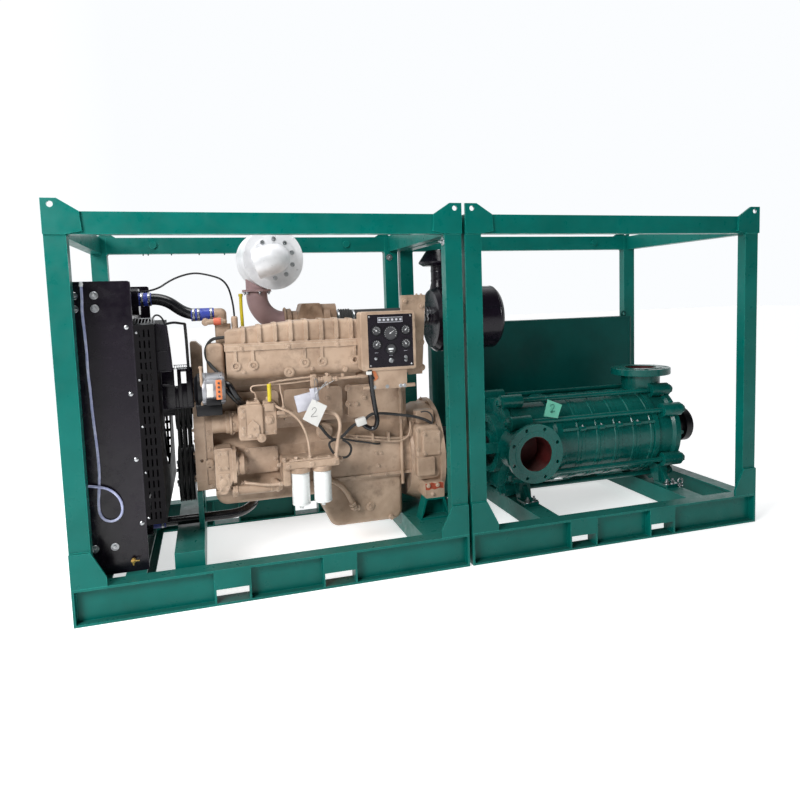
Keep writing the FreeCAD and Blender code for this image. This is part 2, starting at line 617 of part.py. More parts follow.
ENGINE_SIZES = {
    "engine_inset": 535, "gear_case_thick": 90, "gear_case_low": 440, "gear_case_top": 880,
    "gear_case_half": 260, "block_length": 1055, "block_low": 415, "block_knee": 640,
    "block_shoulder": 720, "block_top": 960, "block_half": 205, "block_neck": 150, "cover_count": 3,
    "cover_reach": 40, "cover_gap": 30, "pan_half": 185, "pan_low": 145, "pan_shallow": 340,
    "pan_start": 0, "pan_end": 45, "pan_sump": 450, "pan_slope": 70, "housing_length": 178,
    "housing_radius": 310, "housing_neck": 250, "housing_step": 90, "foot_out": 330, "foot_in": 250,
    "foot_low": 290, "foot_top": 375, "foot_start": 45, "foot_run": 110, "foot_root": 60,
    "mount_in": 165, "mount_out": 235, "mount_thick": 25, "head_start": 130, "head_length": 990,
    "head_top": 1110, "head_front": 150, "head_rear": 170, "rocker_top": 1240, "rocker_front": 70,
    "rocker_rear": 120, "rocker_gap": 14, "gear_cover_thick": 53, "gear_case_step": 8,
    "gear_case_foot": 30, "gear_case_knee": 60, "gear_case_hip": 80, "gear_case_crown": 60,
    "gear_case_round": 24, "gear_boss_x": 68, "gear_boss_z": 576, "gear_boss_radius": 20,
    "gear_bore_drop": 50, "gear_bore_radius": 9, "gear_bore_depth": 16, "rail_reach": 12,
    "rail_thick": 14, "cover_round": 22, "side_cover_x": 155, "side_cover_length": 168,
    "side_cover_proud": 18, "side_cover_low": 505, "water_pipe_x": 85, "water_pipe_length": 213,
    "water_pipe_radius": 24, "water_pipe_y": 300, "water_pipe_z": 443,
    "water_inlet_x": 220, "water_inlet_y": 262, "water_inlet_z": 470, "water_inlet_radius": 28,
    "water_inlet_drop": 30, "pan_corner": 60, "pan_bend": 24,
    "pan_rim_thick": 12, "housing_wall": 20, "housing_rim": 24, "pad_root": 170, "pad_round": 14,
    "housing_pad_face": 300, "housing_face": 286, "housing_face_x": 14, "housing_face_low": 385,
    "housing_face_high": 305, "housing_face_round": 34, "pad_cover_x": 49, "pad_cover_wide": 105, "pad_cover_low": 520,
    "pad_cover_high": 141, "pad_bump_x": 10, "pad_bump_wide": 106, "pad_bump_low": 410,
    "pad_bump_high": 106, "pad_top_x": 35, "pad_top_wide": 105, "pad_top_low": 690, "pad_top_high": 76,
    "pedestal_spread": 32, "pedestal_wall": 10, "rocker_start": 100, "rocker_round": 24,
}
write_sizes(ENGINE_SIZES)
ENGINE_X = "(%s + engine_inset)" % ENGINE_LEFT
BLOCK_X = "(%s + gear_case_thick)" % ENGINE_X
HOUSING_X = "(%s + block_length)" % BLOCK_X


def gear_case():
    """Cast gear case: a front cover on a rear plate, with a ring boss and two tapped bores in front."""
    def layer(name, grow, thick, x):
        half = "gear_case_half%s" % grow
        right = [("%s - gear_case_foot" % half, "gear_case_low"), (half, "gear_case_low + gear_case_knee"),
                 (half, "gear_case_top - gear_case_hip"), (half + " - gear_case_crown", "gear_case_top")]
        body = plate(name, "YZ", right + [("-(%s)" % y, z) for y, z in reversed(right)], thick,
                (x, "0", "0"))
        return softened(body, "gear_case_round", corner_edges("X"))
    cover = layer("gear_cover", "", "gear_cover_thick", ENGINE_X)
    back = layer("gear_back", " - gear_case_step", "gear_case_thick - gear_cover_thick",
                 ENGINE_X + " + gear_cover_thick")
    front = "-gear_case_half"
    boss = rod("gear_ring_boss", "Y", "gear_boss_radius", "gear_case_step * 2",
               (ENGINE_X + " + gear_boss_x", front + " - gear_case_step / 2", "gear_boss_z"))
    bores = [rod("gear_boss_bore", "Y", "gear_boss_radius / 2", "gear_case_step * 2",
                 (ENGINE_X + " + gear_boss_x", front + " - gear_case_step / 2", "gear_boss_z"))]
    for i, z in enumerate(("gear_case_top - gear_bore_drop", "gear_boss_z + gear_case_crown / 2")):
        bores.append(rod("gear_tapped_bore_%d" % i, "Y", "gear_bore_radius", "gear_bore_depth",
                         (ENGINE_X + " + gear_cover_thick * 0.6", front, z)))
    node("gear_case", trimmed("gear_case", fused("gear_casting", [cover, back, boss]), bores))


def cylinder_block():
    """Crankcase and cylinder block with side covers, pan rail and water pipe."""
    right = [("block_half + rail_reach", "block_low"),
            ("block_half + rail_reach", "block_low + rail_thick"),
             ("block_half", "block_low + rail_thick"), ("block_half", "block_knee"),
             ("block_neck", "block_shoulder"),
             ("block_neck", "block_top")]
    block = plate("block_casting", "YZ", right + [("-(%s)" % y, z) for y, z in reversed(right)],
            "block_length",
                  (BLOCK_X, "0", "0"))
    pieces = [block]
    cover = "(block_length - (cover_count + 1) * cover_gap) / cover_count"
    for i in range(size("cover_count")):
        pieces.append(rounded_block("block_cover_%d" % i, "Y", (
            cover, "2 * (block_neck + cover_reach)", "block_top - block_shoulder - 2 * cover_gap"),
            ("%s + cover_gap + %d * (%s + cover_gap)" % (BLOCK_X, i, cover), "-block_neck - cover_reach",
             "block_shoulder + cover_gap"), "cover_round"))
    pieces.append(rounded_block("crankcase_cover", "Y", ("side_cover_length", "side_cover_proud + 1",
                                                         "block_knee - side_cover_low"), (
        BLOCK_X + " + side_cover_x", "-block_half - side_cover_proud", "side_cover_low"),
        "cover_round / 2"))
    pipe_at = (BLOCK_X + " + water_pipe_x", "-water_pipe_y", "water_pipe_z")
    pieces.append(hub("water_pipe", "X", pipe_at, [
        ("water_pipe_radius * 0.8", "0"), ("water_pipe_radius * 1.2", "4"),
                ("water_pipe_radius * 1.2", "22"),
        ("water_pipe_radius", "26"), ("water_pipe_radius", "water_pipe_length")]))
    turn_at = (BLOCK_X + " + water_pipe_x + water_pipe_length", "-water_pipe_y", "water_pipe_z")
    pieces.append(rod("water_pipe_turn", "Y", "water_pipe_radius", "water_pipe_y - block_half + 1", turn_at))
    inlet_x = BLOCK_X + " + water_inlet_x"
    pieces.append(rod("water_inlet", "Y", "water_inlet_radius", "water_inlet_y - block_neck",
                      (inlet_x, "block_neck", "water_inlet_z")))
    pieces.append(rod("water_inlet_drop", "Z", "water_inlet_radius", "water_inlet_drop",
                      (inlet_x, "water_inlet_y", "water_inlet_z - water_inlet_drop")))
    for name, radius, at in (("water_pipe_elbow", "water_pipe_radius", turn_at), (
            "water_inlet_elbow", "water_inlet_radius", (inlet_x, "water_inlet_y", "water_inlet_z"))):
        elbow = document.addObject("Part::Sphere", name)
        bind(elbow, Radius=radius)
        pieces.append(put(elbow, at))
    node("cylinder_block", fused("cylinder_block", pieces))


def oil_pan():
    """Pressed oil pan, shallow in front and deep at the flywheel end, with a rim."""
    shell = plate("pan_shell", "XZ", [
        ("pan_start", "block_low"), ("block_length - pan_end", "block_low"),
                ("block_length - pan_end", "pan_low"),
        ("block_length - pan_sump", "pan_low"), ("block_length - pan_sump - pan_slope", "pan_shallow"),
        ("pan_start", "pan_shallow")], "2 * pan_half", (BLOCK_X, "0", "0"), middle=True)
    softened(shell, "pan_corner", lambda edge, whole: corner_edges("Y")(edge, whole) and (
        edge.ZMax < whole.ZMin + EDGE_TEST
        or (edge.XMax < whole.XMin + EDGE_TEST and edge.ZMax < whole.ZMax - EDGE_TEST)))
    softened(shell, "pan_bend", lambda edge, whole: edge.YLength < EDGE_TEST and edge.ZMin < whole.ZMax - 1
             and edge.ZMax < whole.ZMax - 1 and edge.XLength > 1)
    rim = box("pan_rim", ("block_length - pan_end - pan_start", "2 * block_half", "pan_rim_thick"),
              (BLOCK_X + " + pan_start", "-block_half", "block_low - pan_rim_thick"))
    node("oil_pan", fused("oil_pan", [shell, rim]))


def flywheel_housing():
    """Round flywheel housing with a mounting foot each side and machined pads in front."""
    bell = hub("housing_bell", "X", (HOUSING_X, "0", "shaft_height"), [
        ("housing_neck", "0"), ("housing_radius - housing_wall", "housing_step"),
        ("housing_radius - housing_wall", "housing_length - housing_rim"),
        ("housing_radius", "housing_length - housing_rim"), ("housing_radius", "housing_length")])
    pieces = [bell]
    for side, y in (("front", "-foot_out"), ("rear", "foot_in - foot_root")):
        pieces.append(rounded_block("housing_foot_" + side, "Y", (
            "foot_run", "foot_out - foot_in + foot_root", "foot_top - foot_low"),
            (HOUSING_X + " + foot_start", y, "foot_low"), "pad_round / 2"))
    pieces.append(rounded_block("housing_face", "Y", (
        "housing_length - housing_rim - housing_face_x", "housing_face - pad_root", "housing_face_high"),
        (HOUSING_X + " + housing_face_x", "-housing_face", "housing_face_low"), "housing_face_round",
        "pad_round"))
    for name, x, wide, low, high, face in (
            ("cover", "pad_cover_x", "pad_cover_wide", "pad_cover_low", "pad_cover_high",
             "housing_pad_face"),
            ("starter", "pad_bump_x", "pad_bump_wide", "pad_bump_low", "pad_bump_high",
             "housing_pad_face + 8"),
            ("window", "pad_top_x", "pad_top_wide", "pad_top_low", "pad_top_high", "housing_neck - 20")):
        pieces.append(rounded_block("housing_pad_" + name, "Y", (wide, face + " - pad_root", high), (
            "%s + %s" % (HOUSING_X, x), "-(%s)" % face, low), "pad_round", "pad_round / 2"))
    node("flywheel_housing", fused("flywheel_housing", pieces))


def engine_mounts():
    """Upright plates under the gear case and open welded pedestals under the flywheel housing."""
    mounts = []
    for side, front_y, rear_y in (("front", "-mount_out", "-foot_out"), ("rear", "mount_in", "foot_in")):
        mounts.append(box("mount_plate_" + side,
                          ("mount_thick", "mount_out - mount_in", "gear_case_low - support_top"),
                          (ENGINE_X, front_y, "support_top")))
        depth = "(foot_out - foot_in)"
        outer = plate("pedestal_" + side, "XZ", [
            ("-pedestal_spread", "base_height"), ("foot_run + pedestal_spread", "base_height"),
            ("foot_run", "foot_low"), ("0", "foot_low")], depth,
            (HOUSING_X + " + foot_start", rear_y, "0"), reverse=True)
        room = plate("pedestal_room_" + side, "XZ", [
            ("-pedestal_spread + pedestal_wall", "base_height + pedestal_wall"),
            ("foot_run + pedestal_spread - pedestal_wall", "base_height + pedestal_wall"),
            ("foot_run - pedestal_wall", "foot_low - pedestal_wall"),
            ("pedestal_wall", "foot_low - pedestal_wall")],
            depth + " - pedestal_wall",
            (HOUSING_X + " + foot_start", rear_y + (" + pedestal_wall" if side == "rear" else ""), "0"),
            reverse=True)
        mounts.append(trimmed("pedestal_shell_" + side, outer, [room]))
    node("engine_mounts", fused("engine_mounts", mounts))


def cylinder_heads():
    """Cylinder heads with their rocker covers."""
    heads = box("head_casting", ("head_length", "head_front + head_rear", "head_top - block_top"),
                (ENGINE_X + " + head_start", "-head_front", "block_top"))
    pitch = "(head_length - rocker_start) / cover_count"
    covers = []
    for i in range(size("cover_count")):
        covers.append(rounded_block("rocker_cover_%d" % i, "Z", (
            pitch + " - rocker_gap", "rocker_front + rocker_rear", "rocker_top - head_top"),
            ("%s + head_start + rocker_start + %d * %s" % (ENGINE_X, i, pitch), "-rocker_front",
            "head_top"),
            "rocker_round"))
    node("cylinder_heads", fused("cylinder_heads", [heads] + covers))


gear_case()
cylinder_block()
oil_pan()
flywheel_housing()
engine_mounts()
cylinder_heads()


INTAKE_AND_EXHAUST_SIZES = {
    "intake_start": 175, "intake_length": 890, "intake_front": 300, "intake_flange": 12,
    "intake_low": 1003, "intake_joint": 1180, "rib_front_gap": 155, "cover_end_top": 1262,
    "cover_top": 1298, "cover_tail_top": 1276, "cover_rise": 365, "cover_fall": 575, "rib_pitch": 79,
    "rib_width": 18, "rib_proud": 14, "rib_rise": 6, "rib_count": 10, "rib_first": 80, "manifold_radius": 52,
    "manifold_y": 235, "manifold_z": 1045, "manifold_start": 170, "manifold_length": 880,
    "turbo_z": 1280, "turbo_start": 530, "turbine_length": 70, "turbine_radius": 74,
    "turbo_body_length": 140, "compressor_length": 95, "compressor_radius": 90, "turbo_foot": 58,
    "elbow_bend": 152, "elbow_radius": 60, "elbow_rise": 98, "elbow_rim_drop": 60, "elbow_flange": 82,
    "elbow_flange_thick": 12, "outlet_radius": 163, "outlet_depth": 200, "outlet_turn": 12,
    "outlet_rim": 10, "outlet_rim_thick": 12, "outlet_hood_radius": 82, "outlet_front_x": 472,
    "outlet_front_y": 95, "outlet_z": 1638, "hose_radius": 56, "filter_left": 65, "filter_radius": 200,
    "filter_length": 430, "filter_z": 1262, "filter_y": 170, "filter_neck_radius": 52,
    "filter_neck_x": 70, "cap_radius": 125, "cap_low": 1585, "cap_top": 1680, "intake_round": 58,
    "cover_bend": 22, "cover_end": 15, "boss_first": 45, "boss_second": 130, "boss_third": 390,
    "boss_fourth": 480, "boss_fifth": 655, "boss_z": 1080, "boss_radius": 24, "boss_proud": 8,
    "boss_rib": 14, "cylinder_count": 6, "port_first": 76, "port_pitch": 146, "shield_drop": 45,
    "shield_rise": 102, "shield_length": 180, "shield_slope": 46, "shield_half": 86, "shield_bend": 16,
    "shield_overlap": 24, "shield_end_length": 84, "shield_end_half": 66, "shield_end_low": 50,
    "shield_end_rise": 96, "shield_end_round": 40, "outlet_droop": 16, "outlet_bend": 95, "outlet_sweep": 114, "outlet_wall": 6,
    "outlet_collar": 124, "outlet_collar_proud": 10, "filter_bend": 24, "filter_band": 50,
    "filter_saddle": 66, "cap_lip": 16,
}
write_sizes(INTAKE_AND_EXHAUST_SIZES)


def intake():
    """Intake housing with ring bosses, and its ribbed cover."""
    start = "(%s + intake_start)" % ENGINE_X
    shell = plate("intake_shell", "YZ", [
        ("-head_front", "intake_joint"), ("-intake_front", "intake_joint"), ("-intake_front", "intake_low"),
        ("-head_front", "intake_low")], "intake_length", (start, "0", "0"))
    softened(shell, "intake_round", lambda edge, whole: corner_edges("X")(edge, whole)
             and edge.ZMax < whole.ZMin + 1 and edge.YMax < whole.YMin + 1)
    pieces = [shell, box("intake_rim", (
        "intake_length + intake_flange", "intake_front - head_front + intake_flange", "2 * intake_flange"),
        (start + " - intake_flange / 2", "-intake_front - intake_flange",
        "intake_joint - 2 * intake_flange"))]
    bores = []
    for i, inset in enumerate(("boss_first", "boss_second", "boss_third", "boss_fourth", "boss_fifth")):
        x = "%s + %s" % (start, inset)
        pieces.append(rod("intake_boss_%d" % i, "Y", "boss_radius", "boss_proud + 1", (
            x, "-intake_front - boss_proud", "boss_z")))
        pieces.append(box("intake_boss_rib_%d" % i, ("boss_rib", "boss_proud + 1",
                "intake_joint - boss_z"), (
            x + " - boss_rib / 2", "-intake_front - boss_proud", "boss_z")))
        bores.append(rod("intake_boss_bore_%d" % i, "Y", "boss_radius * 0.55", "boss_proud * 2", (
            x, "-intake_front - boss_proud", "boss_z")))
    node("intake_housing", trimmed("intake_housing", fused("intake_casting", pieces), bores))

    def crown(name, grow, front, length, radius):
        body = plate(name, "XZ", [
            ("0", "intake_joint"), ("intake_length", "intake_joint"),
                    ("intake_length", "cover_tail_top" + grow),
            ("cover_fall", "cover_top" + grow), ("cover_rise", "cover_top" + grow),
            ("cover_end", "cover_end_top" + grow), ("0", "cover_end_top - cover_end")],
            length, (start, front, "0"), reverse=True)
        return softened(body, radius, lambda edge, whole: edge.YMax < EDGE_TEST and edge.XLength > 30
                        and edge.ZMin > whole.ZMin + 1)
    cover = crown("cover_crown", "", "-intake_front + rib_proud",
                  "intake_front - rib_front_gap - rib_proud", "cover_bend")
    ridge = crown("cover_ridge", " + rib_rise", "-intake_front",
                  "intake_front - rib_front_gap - cover_end", "cover_bend + rib_rise")
    ribs = [box("cover_rib_%d" % i, ("rib_width", "intake_front", "cover_top - intake_joint + 50"),
                ("%s + rib_first + %d * rib_pitch" % (start, i), "-intake_front", "intake_joint"))
            for i in range(size("rib_count"))]
    comb = shared("cover_comb", ridge, fused("cover_ribs", ribs))
    rim = box("cover_rim", ("intake_length + intake_flange", "intake_front + intake_flange - rib_front_gap",
                            "intake_flange"),
              (start + " - intake_flange / 2", "-intake_front - intake_flange", "intake_joint"))
    node("intake_cover", fused("intake_cover", [cover, comb, rim]))


def turbocharger(turbo_x):
    """Turbocharger with its folded heat shield and its compressor, on the manifold."""
    body_x = turbo_x + " + turbine_length"
    foot = box("turbo_foot_block", ("1.2 * turbo_foot", "1.4 * turbo_foot", "turbo_z - manifold_z"),
               (body_x, "manifold_y - 0.7 * turbo_foot", "manifold_z"))
    turbine = hub("turbine", "X", (turbo_x, "manifold_y", "turbo_z"), [
        ("elbow_radius + elbow_flange_thick", "0"), ("turbine_radius", "turbine_length * 0.4"),
        ("turbine_radius", "turbine_length * 0.5"), ("elbow_radius", "turbine_length * 0.6"),
        ("elbow_radius", "turbine_length + 1")])
    shield = softened(plate("turbo_shield", "XZ", [
        ("0", "turbo_z - shield_drop"), ("shield_length", "turbo_z - shield_drop"),
        ("shield_length - shield_slope / 2", "turbo_z + shield_rise"),
        ("shield_slope", "turbo_z + shield_rise")],
        "2 * shield_half", (body_x + " - shield_overlap", "manifold_y", "0"), middle=True), "shield_bend",
        corner_edges("Y"))
    compressor = hub("compressor", "X", (body_x + " + turbo_body_length", "manifold_y", "turbo_z"), [
        ("turbine_radius", "-1"), ("compressor_radius", "compressor_length * 0.16"),
        ("compressor_radius", "compressor_length * 0.5"), ("turbine_radius", "compressor_length * 0.66"),
        ("hose_radius", "compressor_length * 0.74"), ("hose_radius", "compressor_length")])
    end = rounded_block("shield_end", "X", (
        "shield_end_length", "2 * shield_end_half", "shield_end_low + shield_end_rise"), (
        body_x + " - shield_overlap + shield_length - shield_end_low / 4", "manifold_y - shield_end_half",
        "turbo_z - shield_end_low"), "shield_end_round")
    room = rod("turbo_manifold_room", "X", "manifold_radius + seat_gap", "manifold_length", (
        "%s + manifold_start" % ENGINE_X, "manifold_y", "manifold_z"))
    node("turbocharger", trimmed("turbocharger", fused("turbo_casting", [
        turbine, shield, end, compressor, foot]), [room]))


def exhaust_outlet():
    """Flat silencer drum whose spout bends to the radiator end, and the room that the drum takes."""
    face = ("0", "0", "0")
    drum = hub("outlet_drum", "Y", face, [
        ("outlet_radius + outlet_rim", "0"), ("outlet_radius + outlet_rim", "outlet_rim_thick"),
        ("outlet_radius", "outlet_rim_thick"), ("outlet_radius", "outlet_depth")])
    collar = rod("outlet_collar", "Y", "outlet_collar", "outlet_collar_proud + 1",
                 ("0", "-outlet_collar_proud", "0"))

    def spout(name, radius, sweep):
        bend = document.addObject("Part::Torus", name)
        bind(bend, Radius1="outlet_bend", Radius2=radius, Angle3=sweep)
        return put(bend, ("-outlet_bend", "-outlet_collar_proud + 1", "0"),
                   FreeCAD.Rotation(Vector(1, 0, 0), 180))
    droop = FreeCAD.Rotation(Vector(0, 1, 0), -size("outlet_droop"))
    pipe = put(trimmed("outlet_pipe", spout("outlet_spout", "outlet_hood_radius", "outlet_sweep"), [
        spout("outlet_hollow", "outlet_hood_radius - outlet_wall", "outlet_sweep + 1")]), face, droop)
    outlet = fused("exhaust_outlet", [drum, collar, pipe])
    turn = FreeCAD.Rotation(Vector(0, 0, 1), size("outlet_turn"))
    at = ("%s + outlet_front_x" % ENGINE_X, "outlet_front_y", "outlet_z")
    node("exhaust_outlet", put(outlet, at, turn))
    return put(rod("elbow_seat", "Y", "outlet_radius + seat_gap", "outlet_depth", at), at,
               turn.multiply(AXIS_TURNS["Y"]))


def exhaust_side():
    """Exhaust manifold, turbocharger, elbow and round outlet."""
    start = "(%s + manifold_start)" % ENGINE_X
    pieces = [rod("manifold_log", "X", "manifold_radius", "manifold_length",
            (start, "manifold_y", "manifold_z"))]
    for i in range(size("cylinder_count")):
        pieces.append(rod("manifold_branch_%d" % i, "Y", "0.7 * manifold_radius",
                "manifold_y - head_rear", (
            "%s + port_first + %d * port_pitch" % (start, i), "head_rear", "manifold_z")))
    node("exhaust_manifold", fused("exhaust_manifold", pieces))
    turbo_x = "(%s + turbo_start)" % ENGINE_X
    turbocharger(turbo_x)
    bend = document.addObject("Part::Torus", "elbow_bend_ring")
    bind(bend, Radius1="elbow_bend", Radius2="elbow_radius")
    bend.Angle3 = 90
    put(bend, (turbo_x, "manifold_y", "turbo_z + elbow_bend"),
        FreeCAD.Rotation(Vector(1, 0, 0), 90).multiply(FreeCAD.Rotation(Vector(0, 0, 1), 180)))
    top = "turbo_z + elbow_bend"
    rise = rod("elbow_riser", "Z", "elbow_radius", "elbow_rise",
            (turbo_x + " - elbow_bend", "manifold_y", top))
    rim = rod("elbow_rim", "Z", "elbow_flange", "elbow_flange_thick", (
        turbo_x + " - elbow_bend", "manifold_y",
        top + " + elbow_rise - elbow_flange_thick - elbow_rim_drop"))
    elbow = fused("elbow_casting", [bend, rise, rim])
    node("exhaust_elbow", trimmed("exhaust_elbow", elbow, [exhaust_outlet()]))
    hose_x = turbo_x + " + turbine_length + turbo_body_length + compressor_length"
    node("intake_hose", rod("intake_hose", "X", "hose_radius",
            "%s + filter_left - (%s)" % (PUMP_LEFT, hose_x),
                            (hose_x, "manifold_y", "turbo_z")))


def air_filter():
    """Drum air filter with rounded ends, an end band, its neck and the rain cap."""
    start = "(%s + filter_left)" % PUMP_LEFT
    drum = hub("filter_drum", "X", (start, "filter_y", "filter_z"), [
        ("filter_radius - 2 * filter_bend", "0"), ("filter_radius - filter_bend", "4"),
        ("filter_radius - 6", "filter_bend"), ("filter_radius", "filter_bend + 6"),
        ("filter_radius", "filter_bend + filter_band"),
        ("filter_radius - 6", "filter_bend + filter_band + 4"),
        ("filter_radius - 6", "filter_length - filter_bend"),
        ("filter_radius - filter_bend", "filter_length - 4"),
        ("filter_radius - 2 * filter_bend", "filter_length")])
    at = start + " + filter_neck_x"
    neck = hub("filter_neck", "Z", (at, "filter_y", "filter_z"), [
        ("filter_saddle", "0"), ("filter_saddle", "filter_radius * 0.8"),
        ("filter_neck_radius", "filter_radius + filter_bend"),
        ("filter_neck_radius", "cap_low - filter_z + 1")])
    cap = hub("filter_cap", "Z", (at, "filter_y", "cap_low"), [
        ("cap_radius * 0.8", "0"), ("cap_radius", "cap_lip"), ("cap_radius", "cap_lip * 1.6"),
        ("cap_radius * 0.62", "cap_top - cap_low")])
    node("air_filter", fused("air_filter", [drum, neck, cap]))


intake()
exhaust_side()
air_filter()

ACCESSORY_SIZES = {
    "drive_radius": 52, "drive_z": 790, "block_front_drive": 245, "compressor_start": 92,
    "compressor_body": 86, "compressor_head": 62, "compressor_front": 330, "compressor_low": 480,
    "compressor_top": 672, "alternator_start": 20, "alternator_length": 140, "alternator_y": 330,
    "alternator_z": 978, "alternator_radius": 78, "spin_filter_radius": 46, "spin_filter_y": 352,
    "spin_filter_low": 350, "spin_filter_top": 521, "spin_filter_first": 510, "spin_filter_pitch": 113,
    "spin_cock_radius": 10, "spin_cock_length": 22, "filter_head_start": 420, "filter_head_length": 290,
    "filter_head_front": 400, "filter_head_top": 586, "thermostat_start": 132, "thermostat_length": 80,
    "thermostat_front": 150, "thermostat_back": 40, "thermostat_top": 1290, "panel_left": 845,
    "panel_width": 297, "panel_front": 398, "panel_low": 1022, "panel_top": 1330, "panel_foot_low": 925,
    "bracket_gap": 45,
    "bracket_left": "intake_start + intake_length + bracket_gap", "bracket_width": 136, "bracket_y": 250,
    "bracket_thick": 12,
    "bracket_low": 975, "bracket_top": 1410, "stick_x": 1092, "stick_radius": 9, "stick_low": 362,
    "stick_top": 900, "fuel_flange_at": 157, "fuel_flange_thick": 18, "fuel_flange_half": 54,
    "fuel_body_at": 216, "fuel_body_length": 124, "fuel_rear_length": 68, "fuel_front": 342,
    "fuel_low": 702, "fuel_top": 884, "fuel_round": 18, "fuel_cover": 58, "fuel_cover_x": 42,
    "compressor_toe": 42, "compressor_high": 176, "alternator_shell": 36, "strap_reach": 110,
    "spin_filter_count": 2, "spin_filter_step": 4, "spin_shoulder": 12, "filter_cap": 52,
    "filter_cap_high": 26, "filter_link": 42, "filter_inlet": 41, "filter_inlet_low": 455,
    "thermostat_neck": 30, "thermostat_neck_y": 110, "thermostat_neck_z": 1342, "thermostat_round": 18,
    "water_rail_x": 80, "water_rail_length": 88, "water_rail_front": 232, "water_rail_low": 965,
    "water_rail_top": 1195, "water_rail_round": 30, "breather_x": 232, "breather_y": 130,
    "breather_radius": 17, "breather_top": 1328, "panel_round": 16, "panel_margin": 38,
    "panel_border": 16, "panel_recess": 8, "bracket_lip": 30, "bracket_taper": 28,
}
write_sizes(ACCESSORY_SIZES)


def fuel_pump():
    """Fuel pump: drive flange, pump body with its five-sided cover, and the governor block."""
    body_x = ENGINE_X + " + fuel_body_at"
    back = "(block_neck + cover_reach)"
    pentagon = [("0", "0"), ("fuel_cover", "0"), ("fuel_cover", "fuel_cover"),
            ("fuel_cover / 2", "fuel_cover * 1.5"),
                ("0", "fuel_cover")]
    node("fuel_pump", fused("fuel_pump", [
        rod("fuel_pump_drive", "X", "drive_radius", "fuel_body_at - gear_case_thick + 1", (
            BLOCK_X, "-block_front_drive", "drive_z")),
        rounded_block("fuel_flange", "X", ("fuel_flange_thick", "2 * fuel_flange_half",
        "2 * fuel_flange_half"), (
            ENGINE_X + " + fuel_flange_at", "-block_front_drive - fuel_flange_half",
            "drive_z - fuel_flange_half"),
            "fuel_flange_half * 0.6"),
        rounded_block("fuel_body", "Y", ("fuel_body_length", "fuel_front - %s" % back,
        "fuel_top - fuel_low"), (
            body_x, "-fuel_front", "fuel_low"), "fuel_round", "fuel_round / 2"),
        rounded_block("fuel_governor", "Y", ("fuel_rear_length + 1", "fuel_front - fuel_round - %s" % back,
                                             "fuel_top - fuel_low - fuel_round"), (
            body_x + " + fuel_body_length - 1", "-fuel_front + fuel_round", "fuel_low + fuel_round"),
            "fuel_round / 2", "fuel_round / 3"),
        plate("fuel_cover", "XZ", pentagon, "fuel_round", (
            body_x + " + fuel_cover_x", "-fuel_front - fuel_round / 2", "fuel_low + fuel_round"),
            reverse=True)]))


def thermostat():
    """Thermostat housing with its outlet elbow, the breather beside it and the water rail below."""
    x = ENGINE_X + " + thermostat_start"
    elbow_x = x + " + thermostat_length * 0.4"
    corner = document.addObject("Part::Sphere", "thermostat_corner")
    bind(corner, Radius="thermostat_neck")
    put(corner, (elbow_x, "-thermostat_neck_y", "thermostat_neck_z"))
    node("thermostat_housing", fused("thermostat_housing", [
        rounded_block("thermostat_body", "Z", (
            "thermostat_length", "thermostat_front - thermostat_back", "thermostat_top - head_top"),
            (x, "-thermostat_front", "head_top"), "thermostat_round"),
        rod("thermostat_riser", "Z", "thermostat_neck", "thermostat_neck_z - thermostat_top + 1", (
            elbow_x, "-thermostat_neck_y", "thermostat_top - 1")),
        rod("thermostat_outlet", "X", "thermostat_neck", "thermostat_length * 0.4", (
            x, "-thermostat_neck_y", "thermostat_neck_z")),
        corner,
        rounded_block("water_rail", "Y", ("water_rail_length", "water_rail_front - head_front",
                                          "water_rail_top - water_rail_low"), (
            ENGINE_X + " + water_rail_x", "-water_rail_front", "water_rail_low"), "water_rail_round",
            "thermostat_round")]))
    node("breather", hub("breather", "Z", (ENGINE_X + " + breather_x", "-breather_y", "head_top"), [
        ("breather_radius", "0"), ("breather_radius", "breather_top - head_top - 8"),
        ("breather_radius * 0.7", "breather_top - head_top")]))


